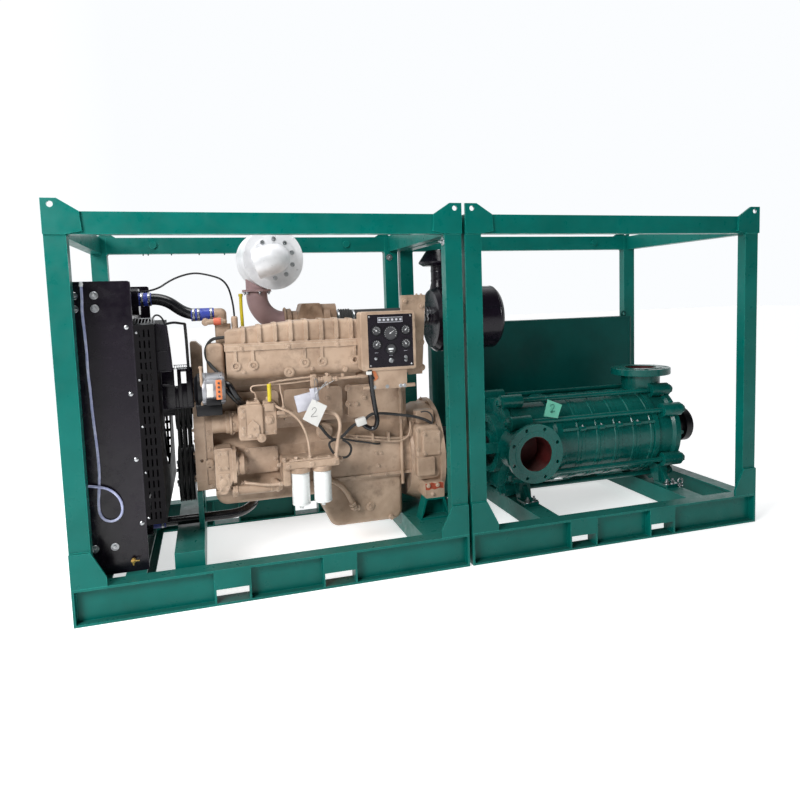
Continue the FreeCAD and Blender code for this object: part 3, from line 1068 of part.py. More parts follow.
def panel():
    """Instrument panel: case with a sunk black face on its stand, and the bent bracket plate beside it."""
    case_x = ENGINE_X + " + panel_left"
    case = rounded_block("panel_case", "Y", (
        "panel_width", "panel_front - intake_front - intake_flange", "panel_top - panel_low"),
        (case_x, "-panel_front", "panel_low"), "panel_round", "panel_round / 3")
    sunk = ("panel_width - panel_margin - panel_border", "panel_recess", "panel_top - panel_low - 2 * panel_border")
    sunk_at = (case_x + " + panel_margin", "-panel_front", "panel_low + panel_border")
    room = box("panel_room", sunk, sunk_at)
    foot = box("panel_foot", ("panel_width * 0.62", "bracket_thick", "panel_low - panel_foot_low"),
               (case_x + " + panel_width * 0.2", "-panel_front + bracket_thick", "panel_foot_low"))
    ledge = rounded_block("panel_ledge", "X", ("panel_width - panel_round", "2 * bracket_thick",
            "bracket_thick * 1.6"),
                          (case_x + " + panel_round / 2", "-panel_front + bracket_thick", "panel_foot_low"),
                          "bracket_thick / 2")
    node("control_panel", fused("control_panel", [trimmed("panel_tray", case, [room]), foot, ledge]))
    node("panel_face", box("panel_face", (sunk[0], "panel_recess / 2", sunk[2]), (
        sunk_at[0], "-panel_front + panel_recess / 2", sunk_at[2])))
    x = ENGINE_X + " + bracket_left"
    upright = plate("bracket_plate", "XZ", [
        ("0", "bracket_top"), ("bracket_width", "bracket_top"),
                ("bracket_width", "bracket_top - bracket_lip"),
        ("bracket_width - bracket_taper", "bracket_low"), ("bracket_taper", "bracket_low"),
        ("0", "bracket_top - 3 * bracket_lip")], "bracket_thick", (x, "-bracket_y", "0"), reverse=True)
    fold = box("bracket_fold", ("bracket_width", "bracket_lip", "bracket_thick"), (
        x, "-bracket_y", "bracket_top - bracket_thick"))
    edge = box("bracket_edge", ("bracket_thick", "bracket_lip", "3 * bracket_lip"), (
        x, "-bracket_y", "bracket_top - 3 * bracket_lip"))
    shelf = box("bracket_shelf", ("bracket_width - bracket_taper + bracket_lip", "bracket_y - head_front",
                                  "bracket_thick * 3"), (
        "%s - bracket_lip" % x, "-bracket_y", "bracket_low + bracket_thick"))
    node("panel_bracket", fused("panel_bracket", [upright, fold, edge, shelf]))


def engine_accessories():
    """Pieces bolted along the service side of the engine."""
    fuel_pump()
    accessory_x = ENGINE_X + " + compressor_start"
    depth = "compressor_front - block_half"
    mid_z = "(compressor_low + compressor_top) / 2"
    body = softened(plate("accessory_body", "XZ", [
        ("0", "compressor_low"), ("compressor_body * 0.3", "compressor_low - compressor_toe"),
        ("compressor_body * 0.6", "compressor_low - compressor_toe"),
        ("compressor_body", "compressor_low + 30"),
        ("compressor_body", "compressor_top"), ("0", "compressor_top")], depth,
        (accessory_x, "-compressor_front", "0"), reverse=True), "fuel_round / 2", corner_edges("Y"))
    node("accessory_drive", fused("accessory_drive", [
        body,
        rounded_block("accessory_flange", "X", ("fuel_flange_thick", depth + " + 8", "compressor_high"), (
            accessory_x + " + compressor_body - 1", "-compressor_front - 8",
            mid_z + " - compressor_high / 2"),
            "fuel_round"),
        hub("accessory_head", "X", (accessory_x + " + compressor_body", "-compressor_front + drive_radius",
                                    mid_z), [
            ("drive_radius", "0"), ("drive_radius", "compressor_head * 0.5"),
            ("drive_radius * 1.08", "compressor_head * 0.6"),
            ("drive_radius * 1.08", "compressor_head - 6"),
            ("drive_radius * 0.9", "compressor_head")])]))
    end = "alternator_radius * 0.76"
    node("alternator", fused("alternator", [
        hub("alternator_body", "X", (ENGINE_X + " + alternator_start", "-alternator_y", "alternator_z"), [
            (end, "0"), ("alternator_radius", "14"), ("alternator_radius", "alternator_shell"),
            ("alternator_radius - 6", "alternator_shell + 4"),
            ("alternator_radius - 6", "alternator_length - alternator_shell"),
            ("alternator_radius", "alternator_length - alternator_shell + 4"),
            ("alternator_radius", "alternator_length - 14"), (end, "alternator_length")]),
        box("alternator_strap", ("alternator_length / 2", "alternator_y - gear_case_half + strap_reach",
        "24"),
            (ENGINE_X + " + alternator_start", "-alternator_y", "gear_case_top")),
        box("alternator_arm", ("24", "60", "alternator_z - gear_case_top"),
            (ENGINE_X + " + alternator_start", "-alternator_y", "gear_case_top"))]))
    cans = []
    for i in range(size("spin_filter_count")):
        tall = "(spin_filter_top - spin_filter_low + spin_cock_length - %d * spin_filter_step)" % i
        cans.append(hub("spin_filter_%d" % i, "Z", (
            "%s + spin_filter_first + %d * spin_filter_pitch" % (ENGINE_X, i), "-spin_filter_y",
            "spin_filter_top - " + tall), [
            ("spin_cock_radius", "0"), ("spin_cock_radius", "spin_cock_length"),
            ("spin_filter_radius * 0.8", "spin_cock_length + 2"),
            ("spin_filter_radius", "spin_cock_length + spin_shoulder"),
            ("spin_filter_radius", tall + " - 10"), ("spin_filter_radius * 0.94", tall)]))
    node("fuel_filters", fused("fuel_filters", cans))
    head_x = ENGINE_X + " + filter_head_start"
    caps = [rod("filter_cap_%d" % i, "Z", "filter_cap", "filter_cap_high", (
        "%s + spin_filter_first + %d * spin_filter_pitch" % (ENGINE_X, i), "-spin_filter_y",
        "spin_filter_top"))
        for i in range(size("spin_filter_count"))]
    node("filter_head", fused("filter_head", caps + [
        rounded_block("filter_link", "Y", ("filter_head_length", "filter_head_front - block_half",
                "filter_link"), (
            head_x, "-filter_head_front", "filter_head_top - filter_link"), "filter_link / 4",
            "filter_link / 4"),
        rounded_block("filter_inlet", "Y", ("filter_inlet", "filter_head_front - 25 - block_half",
                                            "filter_head_top - filter_inlet_low"), (
            head_x, "-filter_head_front + 25", "filter_inlet_low"), "filter_link / 3", "filter_link / 4")]))
    thermostat()
    panel()
    node("dipstick_tube", hub("dipstick_tube", "Z", (
        ENGINE_X + " + stick_x", "-block_half - rail_reach - stick_radius - seat_gap", "stick_low"), [
        ("stick_radius", "0"), ("stick_radius", "stick_top - stick_low - 60"),
        ("stick_radius * 1.5", "stick_top - stick_low - 50"),
        ("stick_radius * 1.5", "stick_top - stick_low - 20"),
        ("stick_radius * 0.8", "stick_top - stick_low")]))


engine_accessories()

DRIVE_SIZES = {
    "pulley_front": 92, "crank_pulley_radius": 150, "hub_radius": 55, "fan_z": 850,
    "fan_pulley_radius": 118, "run_gap": 0.5, "belt_gap": 0.3, "belt_thick": 12, "belt_width": 13,
    "fan_shaft_radius": 42, "fan_front": 222, "fan_hub_radius": 95, "fan_depth": 70, "fan_radius": 400,
    "blade_count": 8, "blade_chord": 140, "blade_thick": 7, "blade_pitch": 28, "coupling_radius": 125,
    "coupling_gap": 18, "coupling_disc": 44, "coupling_space": 14, "fan_post_low": 880,
    "fan_post_top": 1200, "fan_post_width": 110, "fan_post_thick": 60, "belt_count": 3,
    "belt_pitch": 25, "pulley_land": 5, "groove_depth": 15, "groove_slope": 2, "fan_bevel": 16,
    "fan_post_foot": 88, "fan_post_round": 10,
}
write_sizes(DRIVE_SIZES)


def rotating_parts():
    """Crank pulley with the pump coupling, and the fan with its pulley."""
    pulley_x = "(%s - pulley_front)" % ENGINE_X

    def pulley(name, radius, z):
        steps = [(radius, "0"), (radius, "pulley_land")]
        for i in range(size("belt_count")):
            low = "pulley_land + %d * belt_pitch" % i
            steps += [("%s - groove_depth" % radius, low + " + groove_slope"),
                      ("%s - groove_depth" % radius, low + " + belt_pitch - pulley_land - groove_slope"),
                      (radius, low + " + belt_pitch - pulley_land"), (radius, low + " + belt_pitch")]
        return hub(name, "X", (pulley_x, "0", z), steps)
    hub_length = "pulley_front - run_gap"
    node("crank_pulley", fused("crank_pulley", [
        pulley("crank_sheave", "crank_pulley_radius", "shaft_height"),
        rod("crank_hub", "X", "hub_radius", hub_length, (pulley_x, "0", "shaft_height"))]))
    node("fan_pulley", fused("fan_pulley", [
        pulley("fan_sheave", "fan_pulley_radius", "fan_z"),
        rod("fan_stub", "X", "fan_shaft_radius", hub_length, (pulley_x, "0", "fan_z"))]))
    fan_x = "(%s - fan_front)" % ENGINE_X
    pieces = [hub("fan_boss", "X", (fan_x, "0", "fan_z"), [
        ("fan_hub_radius - fan_bevel", "0"), ("fan_hub_radius", "fan_bevel"),
                ("fan_hub_radius", "fan_depth"),
        ("fan_shaft_radius", "fan_depth"), ("fan_shaft_radius", "fan_front - pulley_front")])]
    root = "(fan_hub_radius / 2)"
    for i in range(size("blade_count")):
        turn = "(%d * 360 / blade_count)" % i
        blade = document.addObject("Part::Box", "fan_blade_%d" % i)
        bind(blade, Length="blade_chord", Width="blade_thick", Height="fan_radius - fan_hub_radius / 2")
        spin = FreeCAD.Rotation(Vector(1, 0, 0), 360 * i / size("blade_count"))
        set_at = "(-blade_chord / 2 * sin(90 - blade_pitch) - blade_thick / 2 * cos(90 - blade_pitch))"
        put(blade, (
            fan_x + " + fan_depth / 2 - blade_chord / 2 * cos(90 - blade_pitch)"
            " + blade_thick / 2 * sin(90 - blade_pitch)",
            "%s * cos%s - %s * sin%s" % (set_at, turn, root, turn),
            "fan_z + %s * sin%s + %s * cos%s" % (set_at, turn, root, turn)),
            spin.multiply(FreeCAD.Rotation(Vector(0, 0, 1), 90 - size("blade_pitch"))))
        pieces.append(blade)
    node("fan", fused("fan", pieces))
    start = "(%s + housing_length + run_gap)" % HOUSING_X
    finish = "(%s - suction_casing_length - run_gap)" % STAGE_X
    disc, core = "coupling_radius", "coupling_radius * 0.7"
    first, second = "coupling_gap + coupling_disc", "coupling_gap + coupling_disc + coupling_space"
    node("drive_coupling", hub("drive_coupling", "X", (start, "0", "shaft_height"), [
        ("shaft_radius", "0"), ("shaft_radius", "coupling_gap"), (disc, "coupling_gap"), (disc, first),
        (core, first), (core, second), (disc, second), (disc, second + " + coupling_disc"),
        ("shaft_radius", second + " + coupling_disc"), ("shaft_radius", "%s - %s" % (finish, start))]))


def drive_belts():
    """Closed belt loops round the crank and fan pulleys."""
    def loop(name, grow, wide, belt_x):
        low = "(crank_pulley_radius - groove_depth + belt_gap%s)" % grow
        high = "(fan_pulley_radius - groove_depth + belt_gap%s)" % grow
        lean = "asin((%s - %s) / (fan_z - shaft_height))" % (low, high)
        right = [("%s * cos(%s)" % (low, lean), "shaft_height + %s * sin(%s)" % (low, lean)),
                 ("%s * cos(%s)" % (high, lean), "fan_z + %s * sin(%s)" % (high, lean))]
        side = plate(name + "_sides", "YZ", right + [("-" + y, z) for y, z in reversed(right)], wide,
                     (belt_x, "0", "0"))
        return fused(name, [side, rod(name + "_low", "X", low, wide, (belt_x, "0", "shaft_height")),
                            rod(name + "_high", "X", high, wide, (belt_x, "0", "fan_z"))])
    span = "belt_count * belt_pitch"
    start = "(%s - pulley_front)" % ENGINE_X
    outers = [loop("belt_%d" % i, " + belt_thick", "belt_width", "%s + pulley_land + %d * belt_pitch"
                   " + (belt_pitch - pulley_land - belt_width) / 2" % (start,
                           i)) for i in range(size("belt_count"))]
    node("drive_belts", trimmed("drive_belts", fused("belt_outers", outers),
            [loop("belt_inner", "", span, start)]))


def fan_post():
    """Tapered cast post on the gear case that carries the fan hub."""
    post = softened(plate("fan_bracket", "XZ", [
        ("0", "fan_post_low"), ("fan_post_foot", "fan_post_low"),
                ("fan_post_thick", "fan_post_low + fan_post_width"),
        ("fan_post_thick", "fan_post_top - fan_post_thick / 2"), ("fan_post_thick / 2", "fan_post_top"),
        ("0", "fan_post_top")], "fan_post_width", (ENGINE_X, "0", "0"), middle=True), "fan_post_round",
        lambda edge, whole: corner_edges("Y")(edge, whole) and edge.ZMin > whole.ZMin + 1)
    node("fan_bracket", post)


rotating_parts()
drive_belts()
fan_post()

RADIATOR_SIZES = {
    "radiator_inset": 55, "radiator_length": 255, "radiator_clearance": 62,
    "radiator_half": "frame_depth / 2 - plate_thick - post_depth - radiator_clearance",
    "radiator_low": 170,
    "radiator_top": 1510, "side_thick": 6, "side_flange": 40, "core_inset": 70, "core_length": 110,
    "core_low": 330, "core_top": 1330, "tank_shell_inset": 50, "tank_shell_length": 160,
    "top_tank_top": 1490, "bottom_tank_low": 190, "shroud_inset": 180, "shroud_thick": 6,
    "shroud_ring": 425, "shroud_ring_wall": 6, "guard_length": 88, "guard_low": 380, "guard_top": 1310,
    "guard_thick": 4, "guard_opening": 300, "side_round": 14, "tank_rim": 16, "tank_bend": 24,
    "tank_neck_length": 44, "tank_neck_width": 96, "tank_neck_low": 1352, "tank_neck_top": 1482,
    "coolant_y": 110, "slot_columns": 3, "slot_width": 7, "slot_height": 34, "slot_inset": 20,
    "slot_pitch": 20, "slot_first": 24, "slot_step": 50, "slot_count": 18, "coolant_radius": 29,
    "coolant_z": 1428, "vent_radius": 5, "overflow_radius": 6,
    "lower_hose_radius": 24, "lower_hose_y": 135, "lower_hose_z": 275, "lower_neck_half": 48,
}
write_sizes(RADIATOR_SIZES)
RADIATOR_X = "(%s + radiator_inset)" % ENGINE_LEFT


def radiator():
    """Radiator core between its tanks and side plates, with shroud and fan guard."""
    sides = []
    for side, y, lip in (("front", "-radiator_half", "-radiator_half + side_thick"),
                         ("rear", "radiator_half - side_thick", "radiator_half - side_flange")):
        deep, high = "side_flange - side_thick", "radiator_top - radiator_low"
        sides.append(fused("side_%s" % side, [
            rounded_block("side_plate_%s" % side, "Y", ("radiator_length", "side_thick", high),
                          (RADIATOR_X, y, "radiator_low"), "side_round"),
            box("side_foot_%s" % side, ("radiator_length - 2 * side_round", deep, "side_thick"),
                (RADIATOR_X + " + side_round", lip, "radiator_low")),
            box("side_lip_%s" % side, ("side_thick", deep, high + " - 2 * side_round"),
                (RADIATOR_X, lip, "radiator_low + side_round"))]))
    node("radiator_side_plates", fused("radiator_side_plates", sides))
    inner = "2 * (radiator_half - side_thick)"
    start_y = "-radiator_half + side_thick"
    tank_x = RADIATOR_X + " + tank_shell_inset"
    node("radiator_core", box("radiator_core", ("core_length", inner, "core_top - core_low"),
                              (RADIATOR_X + " + core_inset", start_y, "core_low")))
    tanks = []
    for name, low, high in (("top_tank", "core_top", "top_tank_top"),
            ("bottom_tank", "bottom_tank_low", "core_low")):
        rim_low = low if name == "top_tank" else high + " - tank_rim"
        tanks.append(rounded_block(name, "Y", ("tank_shell_length - tank_rim", inner,
                "%s - (%s)" % (high, low)), (
            tank_x + " + tank_rim / 2", start_y, low), "tank_bend"))
        tanks.append(box(name + "_rim", ("tank_shell_length", inner, "tank_rim"),
                (tank_x, start_y, rim_low)))
    tanks.append(rounded_block("tank_outlet", "X", ("tank_neck_length + tank_rim", "tank_neck_width",
                                                    "tank_neck_top - tank_neck_low"), (
        tank_x + " + tank_shell_length - tank_rim", "-coolant_y - tank_neck_width / 2", "tank_neck_low"),
        "tank_bend"))
    tanks.append(rounded_block("tank_inlet", "X", (
        "tank_neck_length + tank_rim", "tank_neck_width", "2 * lower_neck_half"), (
        tank_x + " + tank_shell_length - tank_rim", "-lower_hose_y - tank_neck_width / 2",
        "lower_hose_z - lower_neck_half"), "tank_bend"))
    node("radiator_tanks", fused("radiator_tanks", tanks))
    shroud_x = RADIATOR_X + " + shroud_inset"
    shell = box("shroud_panel", ("shroud_thick", inner, "core_top - core_low"),
            (shroud_x, start_y, "core_low"))
    ring = rod("shroud_ring_shell", "X", "shroud_ring + shroud_ring_wall", "radiator_length - shroud_inset",
               (shroud_x, "0", "fan_z"))
    hole = rod("shroud_hole", "X", "shroud_ring", "radiator_length", (RADIATOR_X, "0", "fan_z"))
    node("fan_shroud", trimmed("fan_shroud", fused("shroud_shell", [shell, ring]), [hole]))
    fan_guard()


def fan_guard():
    """Box guard round the fan with a round mouth and rows of slots in its sides."""
    guard_x = RADIATOR_X + " + radiator_length"
    outer = box("guard_outer", ("guard_length", "2 * radiator_half", "guard_top - guard_low"),
                (guard_x, "-radiator_half", "guard_low"))
    hollow = box("guard_hollow", ("guard_length", "2 * (radiator_half - guard_thick)",
                                  "guard_top - guard_low - 2 * guard_thick"),
                 (guard_x + " - guard_thick", "-radiator_half + guard_thick", "guard_low + guard_thick"))
    mouth = rod("guard_mouth", "X", "guard_opening", "guard_length * 2", (guard_x, "0", "fan_z"))
    columns = []
    for i in range(size("slot_columns")):
        body = plate("guard_slots_%d" % i, "XZ", [
            ("0", "0"), ("slot_width", "0"), ("slot_width", "slot_height"), ("0", "slot_height")],
            "2 * radiator_half", ("%s + slot_inset + %d * slot_pitch" % (guard_x, i), "-radiator_half",
                                  "guard_low + slot_first"), reverse=True)
        slot = body.Tip
        row = body.newObject("PartDesign::LinearPattern", "guard_slot_row_%d" % i)
        row.Originals = [slot]
        row.Direction = (slot.Profile[0], ["V_Axis"])
        bind(row, Length="slot_step * (slot_count - 1)", Occurrences="slot_count")
        body.Tip = row
        columns.append(body)
    node("fan_guard", trimmed("fan_guard", outer, [hollow, mouth] + columns))


radiator()


# Bent pipes and hoses

def bent_tube(name, radius, route):
    """Round tube along straight runs joined by tangent arcs."""
    points = [Vector(*point) for point in route]
    edges, start = [], points[0]
    radii = []
    for before, corner, after in zip(points, points[1:], points[2:]):
        inward, outward = (before - corner).normalize(), (after - corner).normalize()
        turn = math.pi - inward.getAngle(outward)
        reach = 0.45 * min((before - corner).Length, (after - corner).Length)
        half = Vector(inward + outward).normalize()
        bend = reach / math.tan(turn / 2)
        centre = corner + half * ((reach ** 2 + bend ** 2) ** 0.5)
        enter, leave = corner + inward * reach, corner + outward * reach
        middle = centre - half * bend
        edges += [Part.LineSegment(start, enter).toShape(), Part.Arc(enter, middle, leave).toShape()]
        start = leave
        radii.append(bend)
    edges.append(Part.LineSegment(start, points[-1]).toShape())
    path = Part.Wire(edges)
    section = Part.Wire([Part.Circle(points[0], points[1] - points[0], radius).toShape()])
    shape = path.makePipeShell([section], True, True)
    print("%s length %.0f radii %s" % (name, path.Length, ", ".join("%.0f" % bend for bend in radii)))
    thing = document.addObject("Part::Feature", name)
    thing.Shape = shape
    return thing


ENGINE_START = -(size("engine_frame_length") + size("frame_gap") + size("pump_frame_length")) / 2 + size(
        "engine_inset")
TUBE_START = ENGINE_START - size("engine_inset") + size("radiator_inset")
TANK_END = TUBE_START + size("tank_shell_inset") + size("tank_shell_length")


def route_of(start_x, start_y, start_z, steps):
    """Corner points of a route given as steps from its start."""
    return [(start_x + x, start_y + y, start_z + z) for x, y, z in steps]


def pipes_and_hoses():
    """Coolant pipe, vent hose and the overflow tube along the radiator side."""
    gap = size("seat_gap")
    neck_end = TANK_END + size("tank_neck_length")
    outlet_x = ENGINE_START + size("thermostat_start")
    fall = size("thermostat_neck_z") - size("coolant_z")
    node("coolant_pipe", bent_tube("coolant_pipe", size("coolant_radius"), route_of(
        neck_end, -size("coolant_y"), size("coolant_z"), [
            (0, 0, 0), (118, 0, 0), (228, 0, fall), (outlet_x - gap - neck_end, 0, fall)])))
    inlet_x = ENGINE_START + size("gear_case_thick") + size("water_inlet_x") - neck_end
    far = size("lower_hose_y") + size("water_inlet_y")
    rise = size("water_inlet_z") - size("water_inlet_drop") - size("lower_hose_z")
    node("lower_hose", bent_tube("lower_hose", size("lower_hose_radius"), route_of(
        neck_end, -size("lower_hose_y"), size("lower_hose_z"), [
            (0, 0, 0), (inlet_x - 100, 0, 0), (inlet_x - 20, far - 262, 5), (inlet_x, far - 92, 13),
            (inlet_x, far, rise - 90), (inlet_x, far, rise)])))
    breather_x = ENGINE_START + size("breather_x") - neck_end
    breather_rise = size("breather_top") + gap - VENT_START_Z
    node("vent_hose", bent_tube("vent_hose", size("vent_radius"), route_of(
        neck_end + gap, -size("coolant_y") + size("tank_neck_width") / 4, VENT_START_Z, VENT_STEPS + [
            (breather_x - 30, -44, 50), (breather_x, -44, breather_rise + 60),
                    (breather_x, -44, breather_rise)])))
    tube_y = -size("radiator_half") - gap - size("overflow_radius")
    node("overflow_tube", bent_tube("overflow_tube", size("overflow_radius"), route_of(
        TUBE_START, tube_y, size("radiator_low"), OVERFLOW_STEPS)))


# Corner points of the two free hoses as steps in x, y and z from their start
VENT_START_Z = 1466
VENT_STEPS = [(0, 0, 0), (76, -4, 4), (160, -16, 62), (256, -24, 92), (326, -34, 84)]
OVERFLOW_STEPS = [
    (56, 0, 1333), (57, 0, 1280), (52, 0, 1210), (56, 0, 1120), (59, -1, 1030), (57, 0, 940), (62, -1, 850),
    (63, 0, 760), (68, -1, 670), (72, 0, 580), (74, -1, 490), (68, 0, 410), (60, -1, 340), (62, 0, 284),
    (90, -1, 252), (132, -1, 252), (160, -1, 286), (156, -3, 348), (118, -10, 400), (66, -14, 421),
    (10, -13, 430)]

pipes_and_hoses()


# Checks and export

def finish_model():
    """Recompute, test every object and write one file a sub-part."""
    document.recompute()
    for thing in document.Objects:
        if "Invalid" in thing.State or "Error" in thing.State:
            raise RuntimeError("%s did not build: %s" % (thing.Label, thing.State))
    os.makedirs("parts", exist_ok=True)
    for thing in nodes:
        shape = thing.Shape
        if shape.isNull() or not shape.isValid() or not shape.Solids:
            raise RuntimeError("%s has no sound shape" % thing.Label)
        shape.exportStep(os.path.join("parts", thing.Label + ".step"))
        print("%-28s %2d solids  %8.0f cm3" % (thing.Label, len(shape.Solids), shape.Volume / 1000))


finish_model()
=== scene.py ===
"""Looks of a diesel-driven multistage pump set in two welded lifting frames.

Metres, in the frame's own axes: +X along the set from the radiator to the free end of the pump, +Y away
from the service side, +Z up.  Sizes and places are written in millimetres of those axes and turned to
metres as each piece is made.
"""
from __future__ import annotations

import logging
import math
from dataclasses import dataclass, field
from enum import Enum
from functools import cached_property
from typing import Sequence

import bmesh
import bpy
from mathutils import Matrix, Vector

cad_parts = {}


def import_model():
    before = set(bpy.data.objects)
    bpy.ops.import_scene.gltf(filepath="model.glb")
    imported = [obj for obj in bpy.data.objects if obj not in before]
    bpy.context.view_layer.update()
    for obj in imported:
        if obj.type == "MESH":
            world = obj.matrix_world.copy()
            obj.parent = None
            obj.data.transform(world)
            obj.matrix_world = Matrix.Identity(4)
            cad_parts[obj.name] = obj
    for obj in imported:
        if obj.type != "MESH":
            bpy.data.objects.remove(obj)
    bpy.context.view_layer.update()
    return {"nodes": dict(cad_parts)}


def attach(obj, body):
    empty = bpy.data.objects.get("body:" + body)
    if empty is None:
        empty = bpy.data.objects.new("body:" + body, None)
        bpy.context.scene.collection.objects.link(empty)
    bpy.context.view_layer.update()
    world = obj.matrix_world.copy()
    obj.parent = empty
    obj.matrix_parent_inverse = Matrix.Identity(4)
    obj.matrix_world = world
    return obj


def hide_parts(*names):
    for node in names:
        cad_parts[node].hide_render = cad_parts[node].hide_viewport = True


LOG = logging.getLogger("pump_set")
MM = 0.001

# A box is its lowest and highest corner.  A pair is two places on a face, or a distance along an axis and
# the radius there.  A row is places along one line.
Point = tuple[float, float, float]
Box = tuple[Point, Point]
Pair = tuple[float, float]
Pairs = tuple[Pair, ...]
Row = tuple[float, ...]
Tree = bpy.types.NodeTree
Socket = bpy.types.NodeSocket
Value = float | tuple | Socket
Sockets = dict[str | int, Value]


class Way(Enum):
    """Direction in which a round form or a fastener points."""

    FRONT = (0.0, -1.0, 0.0)
    REAR = (0.0, 1.0, 0.0)
    LEFT = (-1.0, 0.0, 0.0)
    RIGHT = (1.0, 0.0, 0.0)
    UP = (0.0, 0.0, 1.0)
    DOWN = (0.0, 0.0, -1.0)


class Slot(Enum):
    """Material slots of the record."""

    FRAME = "frame_paint"
    PUMP = "pump_paint"
    ENGINE = "engine_paint"
    BLACK = "black_paint"
    CORE = "core_metal"
    OUTLET = "outlet_metal"
    ELBOW = "elbow_metal"
    TURBO = "turbo_metal"
    STEEL = "bare_steel"
    RUBBER = "black_rubber"
    HOSE = "blue_hose"
    PLASTIC = "black_plastic"
    WHITE = "filter_white"


# Small helpers for node trees

def linear(hex_colour: str) -> tuple[float, float, float, float]:
    """Turn an sRGB hex colour into linear light.

    Args:
        hex_colour: six hex digits after a hash.

    Returns:
        Red, green, blue and a full alpha.
    """
    parts = [int(hex_colour[i:i + 2], 16) / 255 for i in (1, 3, 5)]
    light = [part / 12.92 if part <= 0.04045 else ((part + 0.055) / 1.055) ** 2.4 for part in parts]
    return (light[0], light[1], light[2], 1.0)


def plug(tree: Tree, node: bpy.types.Node, sockets: Sockets) -> None:
    """Set or link the inputs of a node.

    Args:
        tree: the node's tree.
        node: the node.
        sockets: input name or number to a value, or to the output that feeds it.
    """
    for name, value in sockets.items():
        if isinstance(value, Socket):
            tree.links.new(value, node.inputs[name])
        else:
            node.inputs[name].default_value = value


def add_node(tree: Tree, kind: str, sockets: Sockets | None = None, **settings: object) -> bpy.types.Node:
    """Add a node with its settings, its values and its links.

    Args:
        tree: the node tree that gets the node.
        kind: the node's type name.
        sockets: input name or number to a value, or to the output that feeds it.
        settings: properties of the node itself.

    Returns:
        The new node.
    """
    node = tree.nodes.new(kind)
    for name, value in settings.items():
        setattr(node, name, value)
    plug(tree, node, sockets or {})
    return node


def per_metre(size_mm: float) -> float:
    """Scale of a pattern whose features are this many millimetres across."""
    return 1000.0 / size_mm


# Finishes

@dataclass
class Nodes:
    """Patterns and mixtures in the node tree of one surface."""

    tree: Tree

    @cached_property
    def place(self) -> Socket:
        """Place on the object in metres, which the patterns read."""
        return add_node(self.tree, "ShaderNodeTexCoord").outputs["Object"]

    def noise(self, size_mm: float, detail: float = 3.0, rough: float = 0.55) -> Socket:
        """Add a soft random pattern.

        Args:
            size_mm: how large its features are on the real surface.
            detail: how many finer layers it has.
            rough: how strong the finer layers are.

        Returns:
            The pattern's value.
        """
        return add_node(self.tree, "ShaderNodeTexNoise", {
            "Vector": self.place, "Scale": per_metre(size_mm), "Detail": detail,
            "Roughness": rough}).outputs[0]

    def between(self, value: Socket, low: float, high: float, start: float = 0.0,
                end: float = 1.0) -> Socket:
        """Map a value from one range to another, held at both ends."""
        return add_node(self.tree, "ShaderNodeMapRange", {
            "Value": value, "From Min": low, "From Max": high, "To Min": start, "To Max": end}).outputs[0]

    def mixed(self, amount: Value, first: Value, second: Value) -> Socket:
        """Mix two colours."""
        return add_node(self.tree, "ShaderNodeMix", {0: amount, 6: first, 7: second},
                        data_type="RGBA").outputs[2]

    def product(self, first: Value, second: Value) -> Socket:
        """Multiply two values."""
        return add_node(self.tree, "ShaderNodeMath", {0: first, 1: second}, operation="MULTIPLY").outputs[0]

    def relief(self, height: Socket, depth_mm: float, normal: Socket | None = None) -> Socket:
        """Turn a pattern into relief of a real depth.

        Args:
            height: the pattern.
            depth_mm: depth of the relief.
            normal: a coarser relief that this one lies on.

        Returns:
            The normal of the relief.
        """
        sockets: Sockets = {"Height": height, "Distance": depth_mm * MM, "Strength": 1.0}
        if normal is not None:
            sockets["Normal"] = normal
        return add_node(self.tree, "ShaderNodeBump", sockets).outputs[0]

    def upward(self) -> Socket:
        """Find what looks up.

        Returns:
            A value that is one on faces that look up and zero on the rest.
        """
        normal = add_node(self.tree, "ShaderNodeNewGeometry").outputs["True Normal"]
        parts = add_node(self.tree, "ShaderNodeSeparateXYZ", {0: normal})
        return self.between(parts.outputs["Z"], 0.6, 0.98)

    def edges(self, radius_mm: float) -> Socket:
        """Find sharp edges.

        Args:
            radius_mm: how far from an edge the value reaches.

        Returns:
            A value that is one on edges and zero elsewhere.
        """
        rounded = add_node(self.tree, "ShaderNodeBevel", {"Radius": radius_mm * MM}, samples=4).outputs[0]
        normal = add_node(self.tree, "ShaderNodeNewGeometry").outputs["Normal"]
        alike = add_node(self.tree, "ShaderNodeVectorMath", {0: rounded, 1: normal}, operation="DOT_PRODUCT")
        return self.between(alike.outputs["Value"], 0.995, 0.88)


@dataclass(frozen=True)
class Finish:
    """A surface: what it is made of and how it was made."""

    name: str
    slot: Slot
    colour: str

    def material(self) -> bpy.types.Material:
        """Make the finish's material on first use.

        Returns:
            The material.
        """
        found = bpy.data.materials.get(self.name)
        if found is not None:
            return found
        made = bpy.data.materials.new(self.name)
        made.use_nodes = True
        tree = made.node_tree
        tree.nodes.clear()
        shader = add_node(tree, "ShaderNodeBsdfPrincipled")
        add_node(tree, "ShaderNodeOutputMaterial", {"Surface": shader.outputs[0]})
        plug(tree, shader, self.look(Nodes(tree)))
        return made

    def look(self, nodes: Nodes) -> Sockets:
        """What the shader takes, which each kind of finish makes in its own way."""
        raise NotImplementedError


